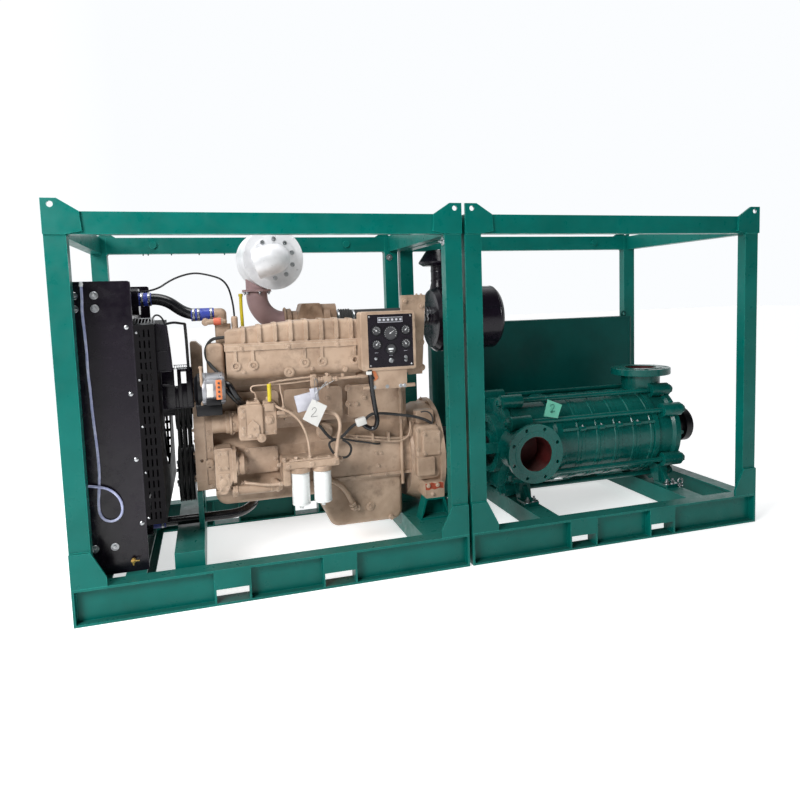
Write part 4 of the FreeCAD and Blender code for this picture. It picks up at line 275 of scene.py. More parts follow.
@dataclass(frozen=True)
class Enamel(Finish):
    """Alkyd enamel sprayed on steel or iron.

    The sprayed film gives an orange peel of about 5 mm and patches of uneven gloss.  Along edges its colour
    is lightened, partly for thin paint and partly as a painted highlight, and dust lies on what looks
    up.  Plates and castings wave a little under it.  On a casting the grain of the sand mould shows too.  It
    is about 0.4 mm, too fine for the render, so it is drawn at 2 mm or more.
    """

    shade: str = "#000000"
    # Colour that edges are lightened to: thin paint and a painted highlight.
    rim: str = "#ffffff"
    rim_amount: float = 0.35
    rim_mm: float = 3.0
    gloss_rough: float = 0.34
    grain_mm: float = 4.0
    grain_depth_mm: float = 0.05
    patch_mm: float = 260.0
    dust: str = "#8f8c84"
    dust_amount: float = 0.18
    grime: str = "#1a1512"
    grime_amount: float = 0.0
    coat: float = 0.0
    sheen_level: float = 0.3
    speck_mm: float = 9.0
    streak_mm: float = 70.0
    # Size of the patches that break up the lightened edges.
    wear_mm: float = 24.0
    gloss_mm: float = 55.0
    wave_mm: float = 160.0
    wave_depth_mm: float = 0.8

    def look(self, nodes: Nodes) -> Sockets:
        """Build the paint: colour patches, dust, grime, thin edges with painted highlights, gloss and
        relief.

        Args:
            nodes: the material's nodes.

        Returns:
            What the shader takes.
        """
        patches = nodes.noise(self.patch_mm, 4.0)
        colour = nodes.mixed(nodes.between(patches, 0.35, 0.65), linear(self.colour), linear(self.shade))
        specks = nodes.noise(self.speck_mm, 4.0, 0.7)
        dusty = nodes.product(nodes.upward(), nodes.between(specks, 0.35, 0.75, 0.3, 1.0))
        colour = nodes.mixed(nodes.product(dusty, self.dust_amount), colour, linear(self.dust))
        if self.grime_amount > 0.0:
            streaks = nodes.between(nodes.noise(self.streak_mm, 6.0, 0.65), 0.52, 0.75)
            colour = nodes.mixed(nodes.product(streaks, self.grime_amount), colour, linear(self.grime))
        # Edges are lightened towards the rim colour and broken up by noise: partly thin paint, partly a
        # painted highlight.
        edge = nodes.edges(self.rim_mm)
        wear = nodes.between(nodes.noise(self.wear_mm, 4.0), 0.35, 0.6, 0.35, 1.0)
        thin_and_highlit_edges = nodes.product(edge, wear)
        colour = nodes.mixed(nodes.product(thin_and_highlit_edges, self.rim_amount), colour, linear(self.rim))
        rough = nodes.between(nodes.noise(self.gloss_mm, 4.0, 0.6), 0.3, 0.7, self.gloss_rough - 0.08,
                              self.gloss_rough + 0.14)
        grain = nodes.noise(self.grain_mm, 2.0)
        waves = nodes.relief(nodes.noise(self.wave_mm, 1.0), self.wave_depth_mm)
        return {"Base Color": colour, "Roughness": rough, "Specular IOR Level": self.sheen_level,
                "Coat Weight": self.coat, "Coat Roughness": 0.22,
                "Normal": nodes.relief(grain, self.grain_depth_mm, waves)}


@dataclass(frozen=True)
class BareMetal(Finish):
    """Cast, turned or plated metal with no paint.

    Casting gives a fine grain, and handling and wear leave patches of uneven roughness.  The grain is
    about 0.2 mm, too fine for the render, so it is drawn at 2.5 mm.
    """

    tint: str = "#777777"
    rough: float = 0.35
    metallic: float = 1.0
    grain_mm: float = 2.5
    grain_depth_mm: float = 0.03
    patch_mm: float = 60.0
    wear_mm: float = 22.0

    def look(self, nodes: Nodes) -> Sockets:
        """Build the metal: two tones, uneven gloss and grain.

        Args:
            nodes: the material's nodes.

        Returns:
            What the shader takes.
        """
        patches = nodes.noise(self.patch_mm, 6.0, 0.65)
        colour = nodes.mixed(nodes.between(patches, 0.32, 0.68), linear(self.colour), linear(self.tint))
        rough = nodes.between(nodes.noise(self.wear_mm, 5.0), 0.3, 0.7, self.rough - 0.07, self.rough + 0.15)
        return {"Base Color": colour, "Roughness": rough, "Metallic": self.metallic,
                "Normal": nodes.relief(nodes.noise(self.grain_mm), self.grain_depth_mm)}


@dataclass(frozen=True)
class Moulded(Finish):
    """Moulded plastic, rubber or card.

    The mould's eroded face gives an even grain, and the surface has a faint bloom in patches.  The grain
    is about 0.1 mm, too fine for the render, so it is drawn at 1.6 mm or more.
    """

    bloom: str = "#3a3a3c"
    rough: float = 0.5
    grain_mm: float = 1.6
    grain_depth_mm: float = 0.04
    bloom_amount: float = 0.25
    bloom_mm: float = 38.0

    def look(self, nodes: Nodes) -> Sockets:
        """Build the moulding: base colour, bloom and grain.

        Args:
            nodes: the material's nodes.

        Returns:
            What the shader takes.
        """
        patches = nodes.between(nodes.noise(self.bloom_mm, 5.0, 0.62), 0.42, 0.75)
        colour = nodes.mixed(nodes.product(patches, self.bloom_amount), linear(self.colour),
                             linear(self.bloom))
        rough = nodes.between(patches, 0.0, 1.0, self.rough - 0.04, self.rough + 0.1)
        return {"Base Color": colour, "Roughness": rough,
                "Normal": nodes.relief(nodes.noise(self.grain_mm, 2.0), self.grain_depth_mm)}


# In each finish, rim is the colour that edges are lightened to: thin paint and a painted highlight.
FRAME_GREEN = Enamel("frame_enamel", Slot.FRAME, "#006159", shade="#00564e", rim="#39c2b2", rim_amount=0.45,
                     gloss_rough=0.32, grain_mm=5, grain_depth_mm=0.06, dust_amount=0.08, sheen_level=0.2)
# The tank wears the frame's paint; this darker copy of it is painted shade for its place behind the pump.
SHADED_TANK_GREEN = Enamel("shaded_tank_enamel", Slot.FRAME, "#004b46", shade="#00413d", rim="#1f8378", gloss_rough=0.42,
                    grain_mm=6, dust_amount=0.08, sheen_level=0.15)
PUMP_GREEN = Enamel("pump_enamel", Slot.PUMP, "#00564f", shade="#004843", rim="#35b3a2", rim_amount=0.3,
                    gloss_rough=0.24, grain_mm=3.4, grain_depth_mm=0.12, dust_amount=0.06, sheen_level=0.35)
ENGINE_BEIGE = Enamel("engine_enamel", Slot.ENGINE, "#b59d88", shade="#9c8470", rim="#e9dccd",
                      rim_amount=0.4, gloss_rough=0.4, grain_mm=3, grain_depth_mm=0.14, patch_mm=120,
                      dust="#b5a797", dust_amount=0.12, grime="#4d3a2e", grime_amount=0.5)
SHEET_BLACK = Enamel("sheet_enamel", Slot.BLACK, "#150f19", shade="#0f0b13", rim="#4a4650",
                     gloss_rough=0.2, grain_mm=6, grain_depth_mm=0.03, dust="#55555a",
                     dust_amount=0.2)
GUARD_BLACK = Enamel("guard_enamel", Slot.BLACK, "#0b090c", shade="#070608", rim="#17151a",
                     gloss_rough=0.55, grain_mm=4, grain_depth_mm=0.04, dust="#2c2c30",
                     dust_amount=0.1, sheen_level=0.12)
CAST_BLACK = Enamel("cast_black_enamel", Slot.BLACK, "#0e0e12", shade="#09090c", rim="#34343a",
                    gloss_rough=0.36, grain_mm=3, grain_depth_mm=0.14, dust="#55555a",
                    dust_amount=0.2)
DIE_CASTING = BareMetal("die_cast_aluminium", Slot.STEEL, "#a3a4a8", tint="#828388", rough=0.38,
                        metallic=0.6)
SILVER_CASTING = BareMetal("aluminium_paint", Slot.OUTLET, "#efeff1", tint="#d6d7da", rough=0.34,
                           metallic=0.25, patch_mm=110)
PINK_PRIMER = Enamel("elbow_primer", Slot.ELBOW, "#b59896", shade="#92787a", rim="#d0bab8",
                     gloss_rough=0.6, grain_mm=3, grain_depth_mm=0.2, dust_amount=0.1)
SCORCHED_IRON = Enamel("turbine_enamel", Slot.TURBO, "#a38a75", shade="#7d6552", rim="#c8b29e",
                       gloss_rough=0.5, grain_mm=3, grain_depth_mm=0.15, patch_mm=90,
                       grime="#4a382d", grime_amount=0.5)
ZINC_STEEL = BareMetal("zinc_plated_steel", Slot.STEEL, "#c6c8ca", tint="#9b9da0", rough=0.28)
BRASS = BareMetal("turned_brass", Slot.STEEL, "#c9a860", tint="#a5834a", rough=0.3)
BLACK_RUBBER = Moulded("black_rubber", Slot.RUBBER, "#121214", rough=0.55)
GLOSS_RUBBER = Moulded("smooth_black_hose", Slot.RUBBER, "#111115", rough=0.24, grain_depth_mm=0.015)
BLACK_PLASTIC = Moulded("black_plastic", Slot.PLASTIC, "#17171a", rough=0.42)
BLUE_SILICONE = Moulded("blue_silicone_hose", Slot.HOSE, "#2a3c9c", bloom="#5a6cc8", rough=0.42,
                        grain_mm=2.4, grain_depth_mm=0.12)
RED_SILICONE = Moulded("red_silicone_hose", Slot.HOSE, "#c05a40", bloom="#dd8a6c", rough=0.45)
YELLOW_PLASTIC = Moulded("yellow_plastic", Slot.PLASTIC, "#c9b51f", bloom="#b9a51c", rough=0.4)
ORANGE_PLASTIC = Moulded("orange_plastic", Slot.PLASTIC, "#d27a48", bloom="#b9633a", rough=0.45)
GREY_PLASTIC = Moulded("pale_grey_plastic", Slot.PLASTIC, "#b9b9c2", bloom="#d5d5dd", rough=0.35,
                       bloom_amount=0.5)
WHITE_CARD = Moulded("white_card", Slot.WHITE, "#cfceca", bloom="#bdbcb8", rough=0.8, grain_mm=3)
GREEN_CARD = Moulded("oversprayed_card", Slot.WHITE, "#5fb59b", bloom="#8fd0ba", rough=0.6, grain_mm=3)
DIAL_WHITE = Moulded("dial_print", Slot.WHITE, "#e8e9ea", bloom="#d8d9da", rough=0.5)
WHITE_ENAMEL = Enamel("white_can_enamel", Slot.WHITE, "#eef0ef", shade="#e4e6e5", rim="#ffffff",
                      gloss_rough=0.2, grain_depth_mm=0.01, dust_amount=0.05, coat=0.3, sheen_level=0.5)
RED_LINING = Enamel("red_oxide_lining", Slot.PUMP, "#4a1716", shade="#35100f", rim="#6a2422",
                    gloss_rough=0.55, grain_mm=4, grain_depth_mm=0.3, patch_mm=60)
RED_OXIDE = Enamel("bared_red_oxide", Slot.ENGINE, "#b0513a", shade="#8f3f2c", rim="#c9735c",
                   gloss_rough=0.6, grain_mm=2, grain_depth_mm=0.1, patch_mm=20)
CLEAR_BLUE_TUBE = Moulded("blue_grey_tube", Slot.HOSE, "#949abf", bloom="#dcdfee", rough=0.14,
                          grain_depth_mm=0, bloom_amount=0.6)
CORE_BLACK = Enamel("core_enamel", Slot.CORE, "#101013", shade="#0b0b0d", rim="#2a2a2e", gloss_rough=0.5)

# CAD nodes that wear each finish
NODE_FINISHES: dict[Finish, tuple[str, ...]] = {
    FRAME_GREEN: ("engine_mounts",) + tuple(
        "%s_frame_%s" % (side, piece) for side in ("engine", "pump")
        for piece in ("front_rail", "rear_rail", "cross_beams", "left_posts", "right_posts", "top_rails")),
    SHADED_TANK_GREEN: ("fuel_tank",),
    PUMP_GREEN: ("suction_casing", "stage_casings", "discharge_casing", "tie_rods", "drive_end_bracket",
                 "shaft_gland"),
    ENGINE_BEIGE: ("gear_case", "cylinder_block", "oil_pan", "flywheel_housing", "cylinder_heads",
                   "intake_housing", "intake_cover", "exhaust_manifold", "fuel_pump", "accessory_drive",
                   "filter_head", "thermostat_housing", "fan_bracket", "panel_bracket", "control_panel",
                   "breather", "dipstick_tube"),
    SHEET_BLACK: ("radiator_side_plates", "radiator_tanks", "panel_face", "air_filter"),
    GUARD_BLACK: ("fan_shroud", "fan_guard"),
    CAST_BLACK: ("free_end_bearing", "crank_pulley", "fan_pulley", "drive_coupling", "alternator"),
    SILVER_CASTING: ("exhaust_outlet",),
    PINK_PRIMER: ("exhaust_elbow",),
    SCORCHED_IRON: ("turbocharger",),
    BLACK_RUBBER: ("intake_hose", "drive_belts"),
    GLOSS_RUBBER: ("coolant_pipe", "lower_hose", "vent_hose"),
    BLACK_PLASTIC: ("fan",),
    WHITE_ENAMEL: ("fuel_filters",),
    CLEAR_BLUE_TUBE: ("overflow_tube",),
    CORE_BLACK: ("radiator_core",),
}


# Shapes

def around(centre: Point, way: Way, radius: float, count: int, start: float = 0.0) -> list[Point]:
    """Places on a circle that faces a direction.

    Args:
        centre: middle of the circle.
        way: the direction that it faces.
        radius: its radius.
        count: how many places.
        start: angle of the first place, in degrees.

    Returns:
        The places, evenly spaced.
    """
    axis = Vector(way.value)
    side = Vector((0, 0, 1)) if abs(axis.z) < 0.5 else Vector((1, 0, 0))
    other = axis.cross(side)
    places = []
    for index in range(count):
        turn = math.radians(start + index * 360.0 / count)
        place = Vector(centre) + side * math.cos(turn) * radius + other * math.sin(turn) * radius
        places.append(tuple(place))
    return places


def route_curve(name: str, route: Sequence[Point], radius: float) -> bpy.types.Curve:
    """One smooth open tube with the route's points as control points.

    Args:
        name: name of the curve.
        route: control points.
        radius: radius of the tube, in the points' unit.

    Returns:
        The curve.
    """
    curve = bpy.data.curves.new(name, "CURVE")
    curve.dimensions = "3D"
    curve.bevel_depth = radius
    curve.bevel_resolution = 3
    curve.use_fill_caps = True
    spline = curve.splines.new("NURBS")
    spline.points.add(len(route) - 1)
    for point, place in zip(spline.points, route):
        point.co = (*place, 1.0)
    spline.order_u = 3
    spline.use_endpoint_u = True
    spline.resolution_u = 10
    return curve


@dataclass(frozen=True)
class Run:
    """A pipe, hose or wire: its radius and the control points of its route."""

    radius: float
    route: tuple[Point, ...]


@dataclass
class Form:
    """A mesh in the making, in millimetres of the set's own axes."""

    mesh: bmesh.types.BMesh = field(default_factory=bmesh.new)

    def block(self, low: Point, high: Point, bevel: float = 1.5, tilt: float = 0.0) -> Form:
        """Add a block with broken edges.

        Args:
            low: lowest corner.
            high: highest corner.
            bevel: how much the edges are broken.
            tilt: turn about the depth axis through its middle, in degrees.

        Returns:
            The form itself.
        """
        made = bmesh.ops.create_cube(self.mesh, size=1.0)["verts"]
        span = Vector(high) - Vector(low)
        bmesh.ops.scale(self.mesh, vec=span, verts=made)
        bmesh.ops.rotate(self.mesh, cent=(0, 0, 0), matrix=Matrix.Rotation(math.radians(tilt), 3, "Y"),
                         verts=made)
        bmesh.ops.translate(self.mesh, vec=(Vector(high) + Vector(low)) / 2, verts=made)
        edges = list(dict.fromkeys(edge for vert in made for edge in vert.link_edges))
        bmesh.ops.bevel(self.mesh, geom=edges, offset=min(bevel, min(span) * 0.45), segments=2,
                        profile=0.5, affect="EDGES")
        return self

    def turned(self, at: Point, way: Way | Vector, steps: Sequence[Pair], sides: int = 28,
               loop: bool = False, caps: bool = True) -> Form:
        """Add a form turned about an axis.

        Args:
            at: where the axis starts.
            way: where the axis points.
            steps: pairs of distance along the axis and radius.
            sides: faces round the axis.
            loop: join the last step to the first, as a ring is.
            caps: close both ends.

        Returns:
            The form itself.
        """
        axis = Vector(way.value if isinstance(way, Way) else way).normalized()
        upright = abs(axis.z) > 0.9
        side = (axis.orthogonal() if upright else Vector((0, 0, 1)).cross(axis)).normalized()
        other = axis.cross(side)
        rings = []
        for along, radius in steps:
            middle = Vector(at) + axis * along
            turns = [math.tau * index / sides for index in range(sides)]
            outs = [side * math.cos(turn) + other * math.sin(turn) for turn in turns]
            rings.append([self.mesh.verts.new(middle + out * radius) for out in outs])
        pairs = list(zip(rings, rings[1:]))
        if loop:
            pairs.append((rings[-1], rings[0]))
        for first, second in pairs:
            for index in range(sides):
                follow = (index + 1) % sides
                self.mesh.faces.new((first[index], first[follow], second[follow], second[index]))
        if caps and not loop:
            self.mesh.faces.new(rings[0])
            self.mesh.faces.new(rings[-1])
        return self

    def ring(self, at: Point, way: Way | Vector, inner: float, outer: float, thick: float,
             sides: int = 48) -> Form:
        """Add a flat ring with a broken outer edge.

        Args:
            at: middle of its back.
            way: where its face looks.
            inner: radius of the hole.
            outer: radius of the rim.
            thick: how thick it is.
            sides: faces round the axis.

        Returns:
            The form itself.
        """
        chamfer = min(thick, outer - inner) * 0.3
        return self.turned(at, way, [(0, inner), (0, outer - chamfer), (chamfer, outer),
                                     (thick - chamfer, outer), (thick, outer - chamfer), (thick, inner)],
                           sides, loop=True)

    def sleeve(self, at: Point, way: Way | Vector, inner: float, outer: float, length: float,
               sides: int) -> Form:
        """Add a plain open sleeve."""
        return self.turned(at, way, [(0, inner), (0, outer), (length, outer), (length, inner)], sides,
                           loop=True)

    def prism(self, outline: Sequence[Point], push: Point) -> Form:
        """Add a plate.

        Args:
            outline: its near outline.
            push: from the near outline to the far one.

        Returns:
            The form itself.
        """
        near = [self.mesh.verts.new(place) for place in outline]
        far = [self.mesh.verts.new(Vector(place) + Vector(push)) for place in outline]
        self.mesh.faces.new(near)
        self.mesh.faces.new(far)
        for index in range(len(outline)):
            follow = (index + 1) % len(outline)
            self.mesh.faces.new((near[index], near[follow], far[follow], far[index]))
        return self

    def bolt(self, at: Point, way: Way | Vector, across: float, washer: float = 1.15,
             stud: float = 0.0) -> Form:
        """Add a hexagon head on its washer.

        Args:
            at: where the washer lies on the surface.
            way: where the head points.
            across: size across the flats.
            washer: radius of the washer in sizes across the flats.
            stud: how far a threaded end stands out of the nut.

        Returns:
            The form itself.
        """
        thick = across * 0.13
        top = thick + across * 0.62
        corner = across / math.sqrt(3)
        self.turned(at, way, [(0, across * washer), (thick * 0.7, across * washer),
                              (thick, across * washer - 0.5)], 20)
        self.turned(at, way, [(thick, corner * 0.95), (top - across * 0.1, corner), (top, corner * 0.84)],
                    6)
        if stud > 0.0:
            self.turned(at, way, [(top, across * 0.3), (top + stud, across * 0.3),
                                  (top + stud + 1.5, across * 0.22)], 12)
        return self

    def bolts(self, places: Sequence[Point], way: Way | Vector, across: float, washer: float = 1.15,
              stud: float = 0.0) -> Form:
        """Add a bolt at each place.

        Args:
            places: where the washers lie.
            way: where the heads point.
            across: size across the flats.
            washer: radius of the washers in sizes across the flats.
            stud: how far the threaded ends stand out of the nuts.

        Returns:
            The form itself.
        """
        for place in places:
            self.bolt(place, way, across, washer, stud)
        return self

    def union(self, at: Point, way: Way | Vector, across: float, length: float) -> Form:
        """Add a pipe union: two hexagons on a tube.

        Args:
            at: where the tube starts.
            way: where it points.
            across: size across the flats.
            length: length of the tube.

        Returns:
            The form itself.
        """
        corner = across / math.sqrt(3)
        self.turned(at, way, [(0, across * 0.36), (length, across * 0.36)], 16)
        for start, end in ((0.12, 0.42), (0.55, 0.88)):
            self.turned(at, way, [(length * start, corner * 0.9), (length * (start + 0.04), corner),
                                  (length * (end - 0.04), corner), (length * end, corner * 0.9)], 6)
        return self

    def clamp(self, at: Point, way: Way | Vector, radius: float, width: float = 13.0) -> Form:
        """Add a worm-drive hose clamp: a rolled band and the housing of its screw.

        Args:
            at: middle of the band's near side.
            way: where the hose points.
            radius: radius of the hose.
            width: width of the band.

        Returns:
            The form itself.
        """
        flat, lip = radius + 1.2, radius + 1.8
        self.turned(at, way, [(0, radius), (0, lip), (1.5, flat), (width - 1.5, flat), (width, lip),
                              (width, radius)], 40, loop=True)
        axis = Vector(way.value if isinstance(way, Way) else way).normalized()
        seat = Vector(at) + axis * width / 2 + Vector((0, -1, 0)) * (radius + 4)
        self.turned(seat - Vector((0, 0, 12)), Way.UP, [(0, 4), (1, 5), (20, 5), (21, 3.4), (26, 3.4)], 12)
        return self

    def bead(self, start: Point, end: Point, radius: float = 4.0, pitch: float = 6.0) -> Form:
        """Add a weld bead with the ripples of its passes.

        Args:
            start: where it starts.
            end: where it ends.
            radius: its radius on a ripple.
            pitch: about how far the ripples lie apart.

        Returns:
            The form itself.
        """
        run = Vector(end) - Vector(start)
        count = max(2, int(run.length / pitch))
        steps = [(run.length * index / count, radius * (1.0 if index % 2 else 0.78))
                 for index in range(count + 1)]
        return self.turned(start, run, steps, 8)

    def pipe(self, route: Sequence[Point], radius: float) -> Form:
        """Add a smooth pipe.

        Args:
            route: its control points.
            radius: its radius.

        Returns:
            The form itself.
        """
        curve = route_curve("pipe_route", route, radius)
        holder = bpy.data.objects.new("pipe_route", curve)
        made = bpy.data.meshes.new_from_object(holder)
        self.mesh.from_mesh(made)
        bpy.data.objects.remove(holder)
        bpy.data.curves.remove(curve)
        bpy.data.meshes.remove(made)
        return self

    def runs(self, runs: Sequence[Run]) -> Form:
        """Add a smooth pipe for each run.

        Args:
            runs: the pipes.

        Returns:
            The form itself.
        """
        for run in runs:
            self.pipe(run.route, run.radius)
        return self

    def piece(self, name: str, finish: Finish, body: str = "set") -> bpy.types.Object:
        """Turn the form into a piece of the set.

        Args:
            name: the piece's name.
            finish: its surface.
            body: the body that it rides on.

        Returns:
            The piece.
        """
        bmesh.ops.recalc_face_normals(self.mesh, faces=self.mesh.faces)
        bmesh.ops.scale(self.mesh, vec=(MM, MM, MM), verts=self.mesh.verts)
        data = bpy.data.meshes.new(name)
        self.mesh.to_mesh(data)
        self.mesh.free()
        data.shade_smooth()
        data.set_sharp_from_angle(angle=math.radians(35))
        data.materials.append(finish.material())
        made = bpy.data.objects.new(name, data)
        bpy.context.scene.collection.objects.link(made)
        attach(made, body)
        LOG.info("%s in %s", name, finish.name)
        return made


# Sub-assemblies

@dataclass
class Cords:
    """The two free hoses, on the routes that the part's source gives them."""

    tube_start: Point = (-1790, -506.3, 170)
    tube_steps: tuple[Point, ...] = (
        (56, 0, 1333), (57, 0, 1280), (52, 0, 1210), (56, 0, 1120), (59, -1, 1030), (57, 0, 940),
        (62, -1, 850), (63, 0, 760), (68, -1, 670), (72, 0, 580), (74, -1, 490), (68, 0, 410),
        (60, -1, 340), (62, 0, 284), (90, -1, 252), (132, -1, 252), (160, -1, 286), (156, -3, 348),
        (118, -10, 400), (66, -14, 421), (10, -13, 430))
    tube_width: float = 12
    tube_length: float = 1407
    vent_route: tuple[Point, ...] = (
        (-1535.7, -86, 1466), (-1459.7, -90, 1470), (-1375.7, -102, 1528), (-1279.7, -110, 1558),
        (-1209.7, -120, 1550), (-1107.7, -130, 1516), (-1077.7, -130, 1388.3), (-1077.7, -130, 1328.3))
    vent_width: float = 10
    vent_length: float = 638

    def hose(self, name: str, route: Sequence[Point], width: float, finish: Finish) -> bpy.types.Object:
        """Lay one hose that stands for the solid of the same route.

        Args:
            name: the solid's name; the hose gets it with an ending.
            route: control points in millimetres.
            width: diameter in millimetres.
            finish: its surface.

        Returns:
            The hose.
        """
        curve = route_curve(name + "_hose", [tuple(part * MM for part in place) for place in route],
                            width / 2 * MM)
        curve.materials.append(finish.material())
        made = bpy.data.objects.new(name + "_hose", curve)
        bpy.context.scene.collection.objects.link(made)
        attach(made, "set")
        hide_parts(name)
        LOG.info("%s in %s", made.name, finish.name)
        return made

    def build(self) -> None:
        """Lay both hoses."""
        route = [tuple(a + b for a, b in zip(self.tube_start, step)) for step in self.tube_steps]
        tube = self.hose("overflow_tube", route, self.tube_width, CLEAR_BLUE_TUBE)
        vent = self.hose("vent_hose", self.vent_route, self.vent_width, GLOSS_RUBBER)


@dataclass
class LiftingFrames:
    """Welds, bolts and small fittings on the two frames."""

    spans: tuple[tuple[str, float, float], ...] = (("engine", -1845, 15), ("pump", 34, 1845))
    post_width: float = 87
    post_face: float = 622
    post_depth: float = 60
    beam_low: float = 1705
    beam_top: float = 1800
    plate_reach: float = 150
    plate_foot: float = 1717
    plate_cut: float = 96
    gusset_top: float = 328
    rail_top: float = 170
    bead_radius: float = 4
    clip_x: Row = (-1560, -1532, -1400, -1240, -1090)
    clip_y: float = 590
    clip_steps: Pairs = ((0, 6), (2, 6), (3, 3.5), (7, 3.5), (8, 4.5), (10, 3))
    nuts: tuple[tuple[Point, Way], ...] = (((-43, 562, 1667), Way.FRONT), ((-72, -590, 1669), Way.LEFT))
    nut_across: float = 19
    lug_inset: float = 36
    lug_face: float = 622.5
    lug_z: float = 1828
    rim_inner: float = 12.7
    rim_outer: float = 13.4
    rim_length: float = 11.3

    def corner(self, form: Form, edge: float, hand: int, row: int) -> None:
        """Weld one post's corner plate and gusset.

        Args:
            form: the form that gets the beads.
            edge: the frame's outer end.
            hand: 1 where the plates reach right, -1 where they reach left.
            row: -1 on the service side, 1 on the far side.
        """
        face = row * (self.post_face + self.bead_radius * 0.4)
        inner = row * (self.post_face - self.post_depth)
        across = edge + hand * self.post_width
        under_beam, over_gusset, over_rail = self.beam_low - 2, self.gusset_top + 2, self.rail_top + 3
        seams = [
            ((edge + hand * 3, face, under_beam), (across, face, under_beam)),
            ((edge + hand * (self.plate_cut + 2), face, self.beam_top - 4),
             (edge + hand * (self.plate_reach + 2), face, self.plate_foot)),
            ((edge + hand * 3, face, over_gusset), (across, face, over_gusset)),
            ((across + hand * 2, face - row * 8, under_beam), (across + hand * 2, inner, under_beam)),
            ((across + hand * 2, face - row * 8, over_rail), (across + hand * 2, inner, over_rail)),
            ((edge + hand * 6, inner - row * 3, over_rail), (across, inner - row * 3, over_rail)),
        ]
        for start, end in seams:
            form.bead(start, end, self.bead_radius)

    def build(self) -> None:
        """Weld both frames and add the clips, the nuts and the rims of the lifting holes."""
        for name, left, right in self.spans:
            form = Form()
            for edge, hand in ((left, 1), (right, -1)):
                for row in (-1, 1):
                    self.corner(form, edge, hand, row)
            form.piece(name + "_frame_welds", FRAME_GREEN)
        clips = Form()
        for x in self.clip_x:
            clips.turned((x, self.clip_y, self.beam_low + 1), Way.DOWN, self.clip_steps, 12)
        clips.piece("rail_clips", FRAME_GREEN)
        bolts = Form()
        for at, way in self.nuts:
            bolts.bolt(at, way, self.nut_across, stud=6)
        bolts.piece("frame_bolts", ZINC_STEEL)
        for name, left, right in self.spans:
            rims = Form()
            for x in (left + self.lug_inset, right - self.lug_inset):
                for row, way in ((-1, Way.FRONT), (1, Way.REAR)):
                    rims.sleeve((x, row * self.lug_face, self.lug_z), way, self.rim_inner, self.rim_outer,
                                self.rim_length, 32)
            rims.piece(name + "_lug_bore_rims", ZINC_STEEL)


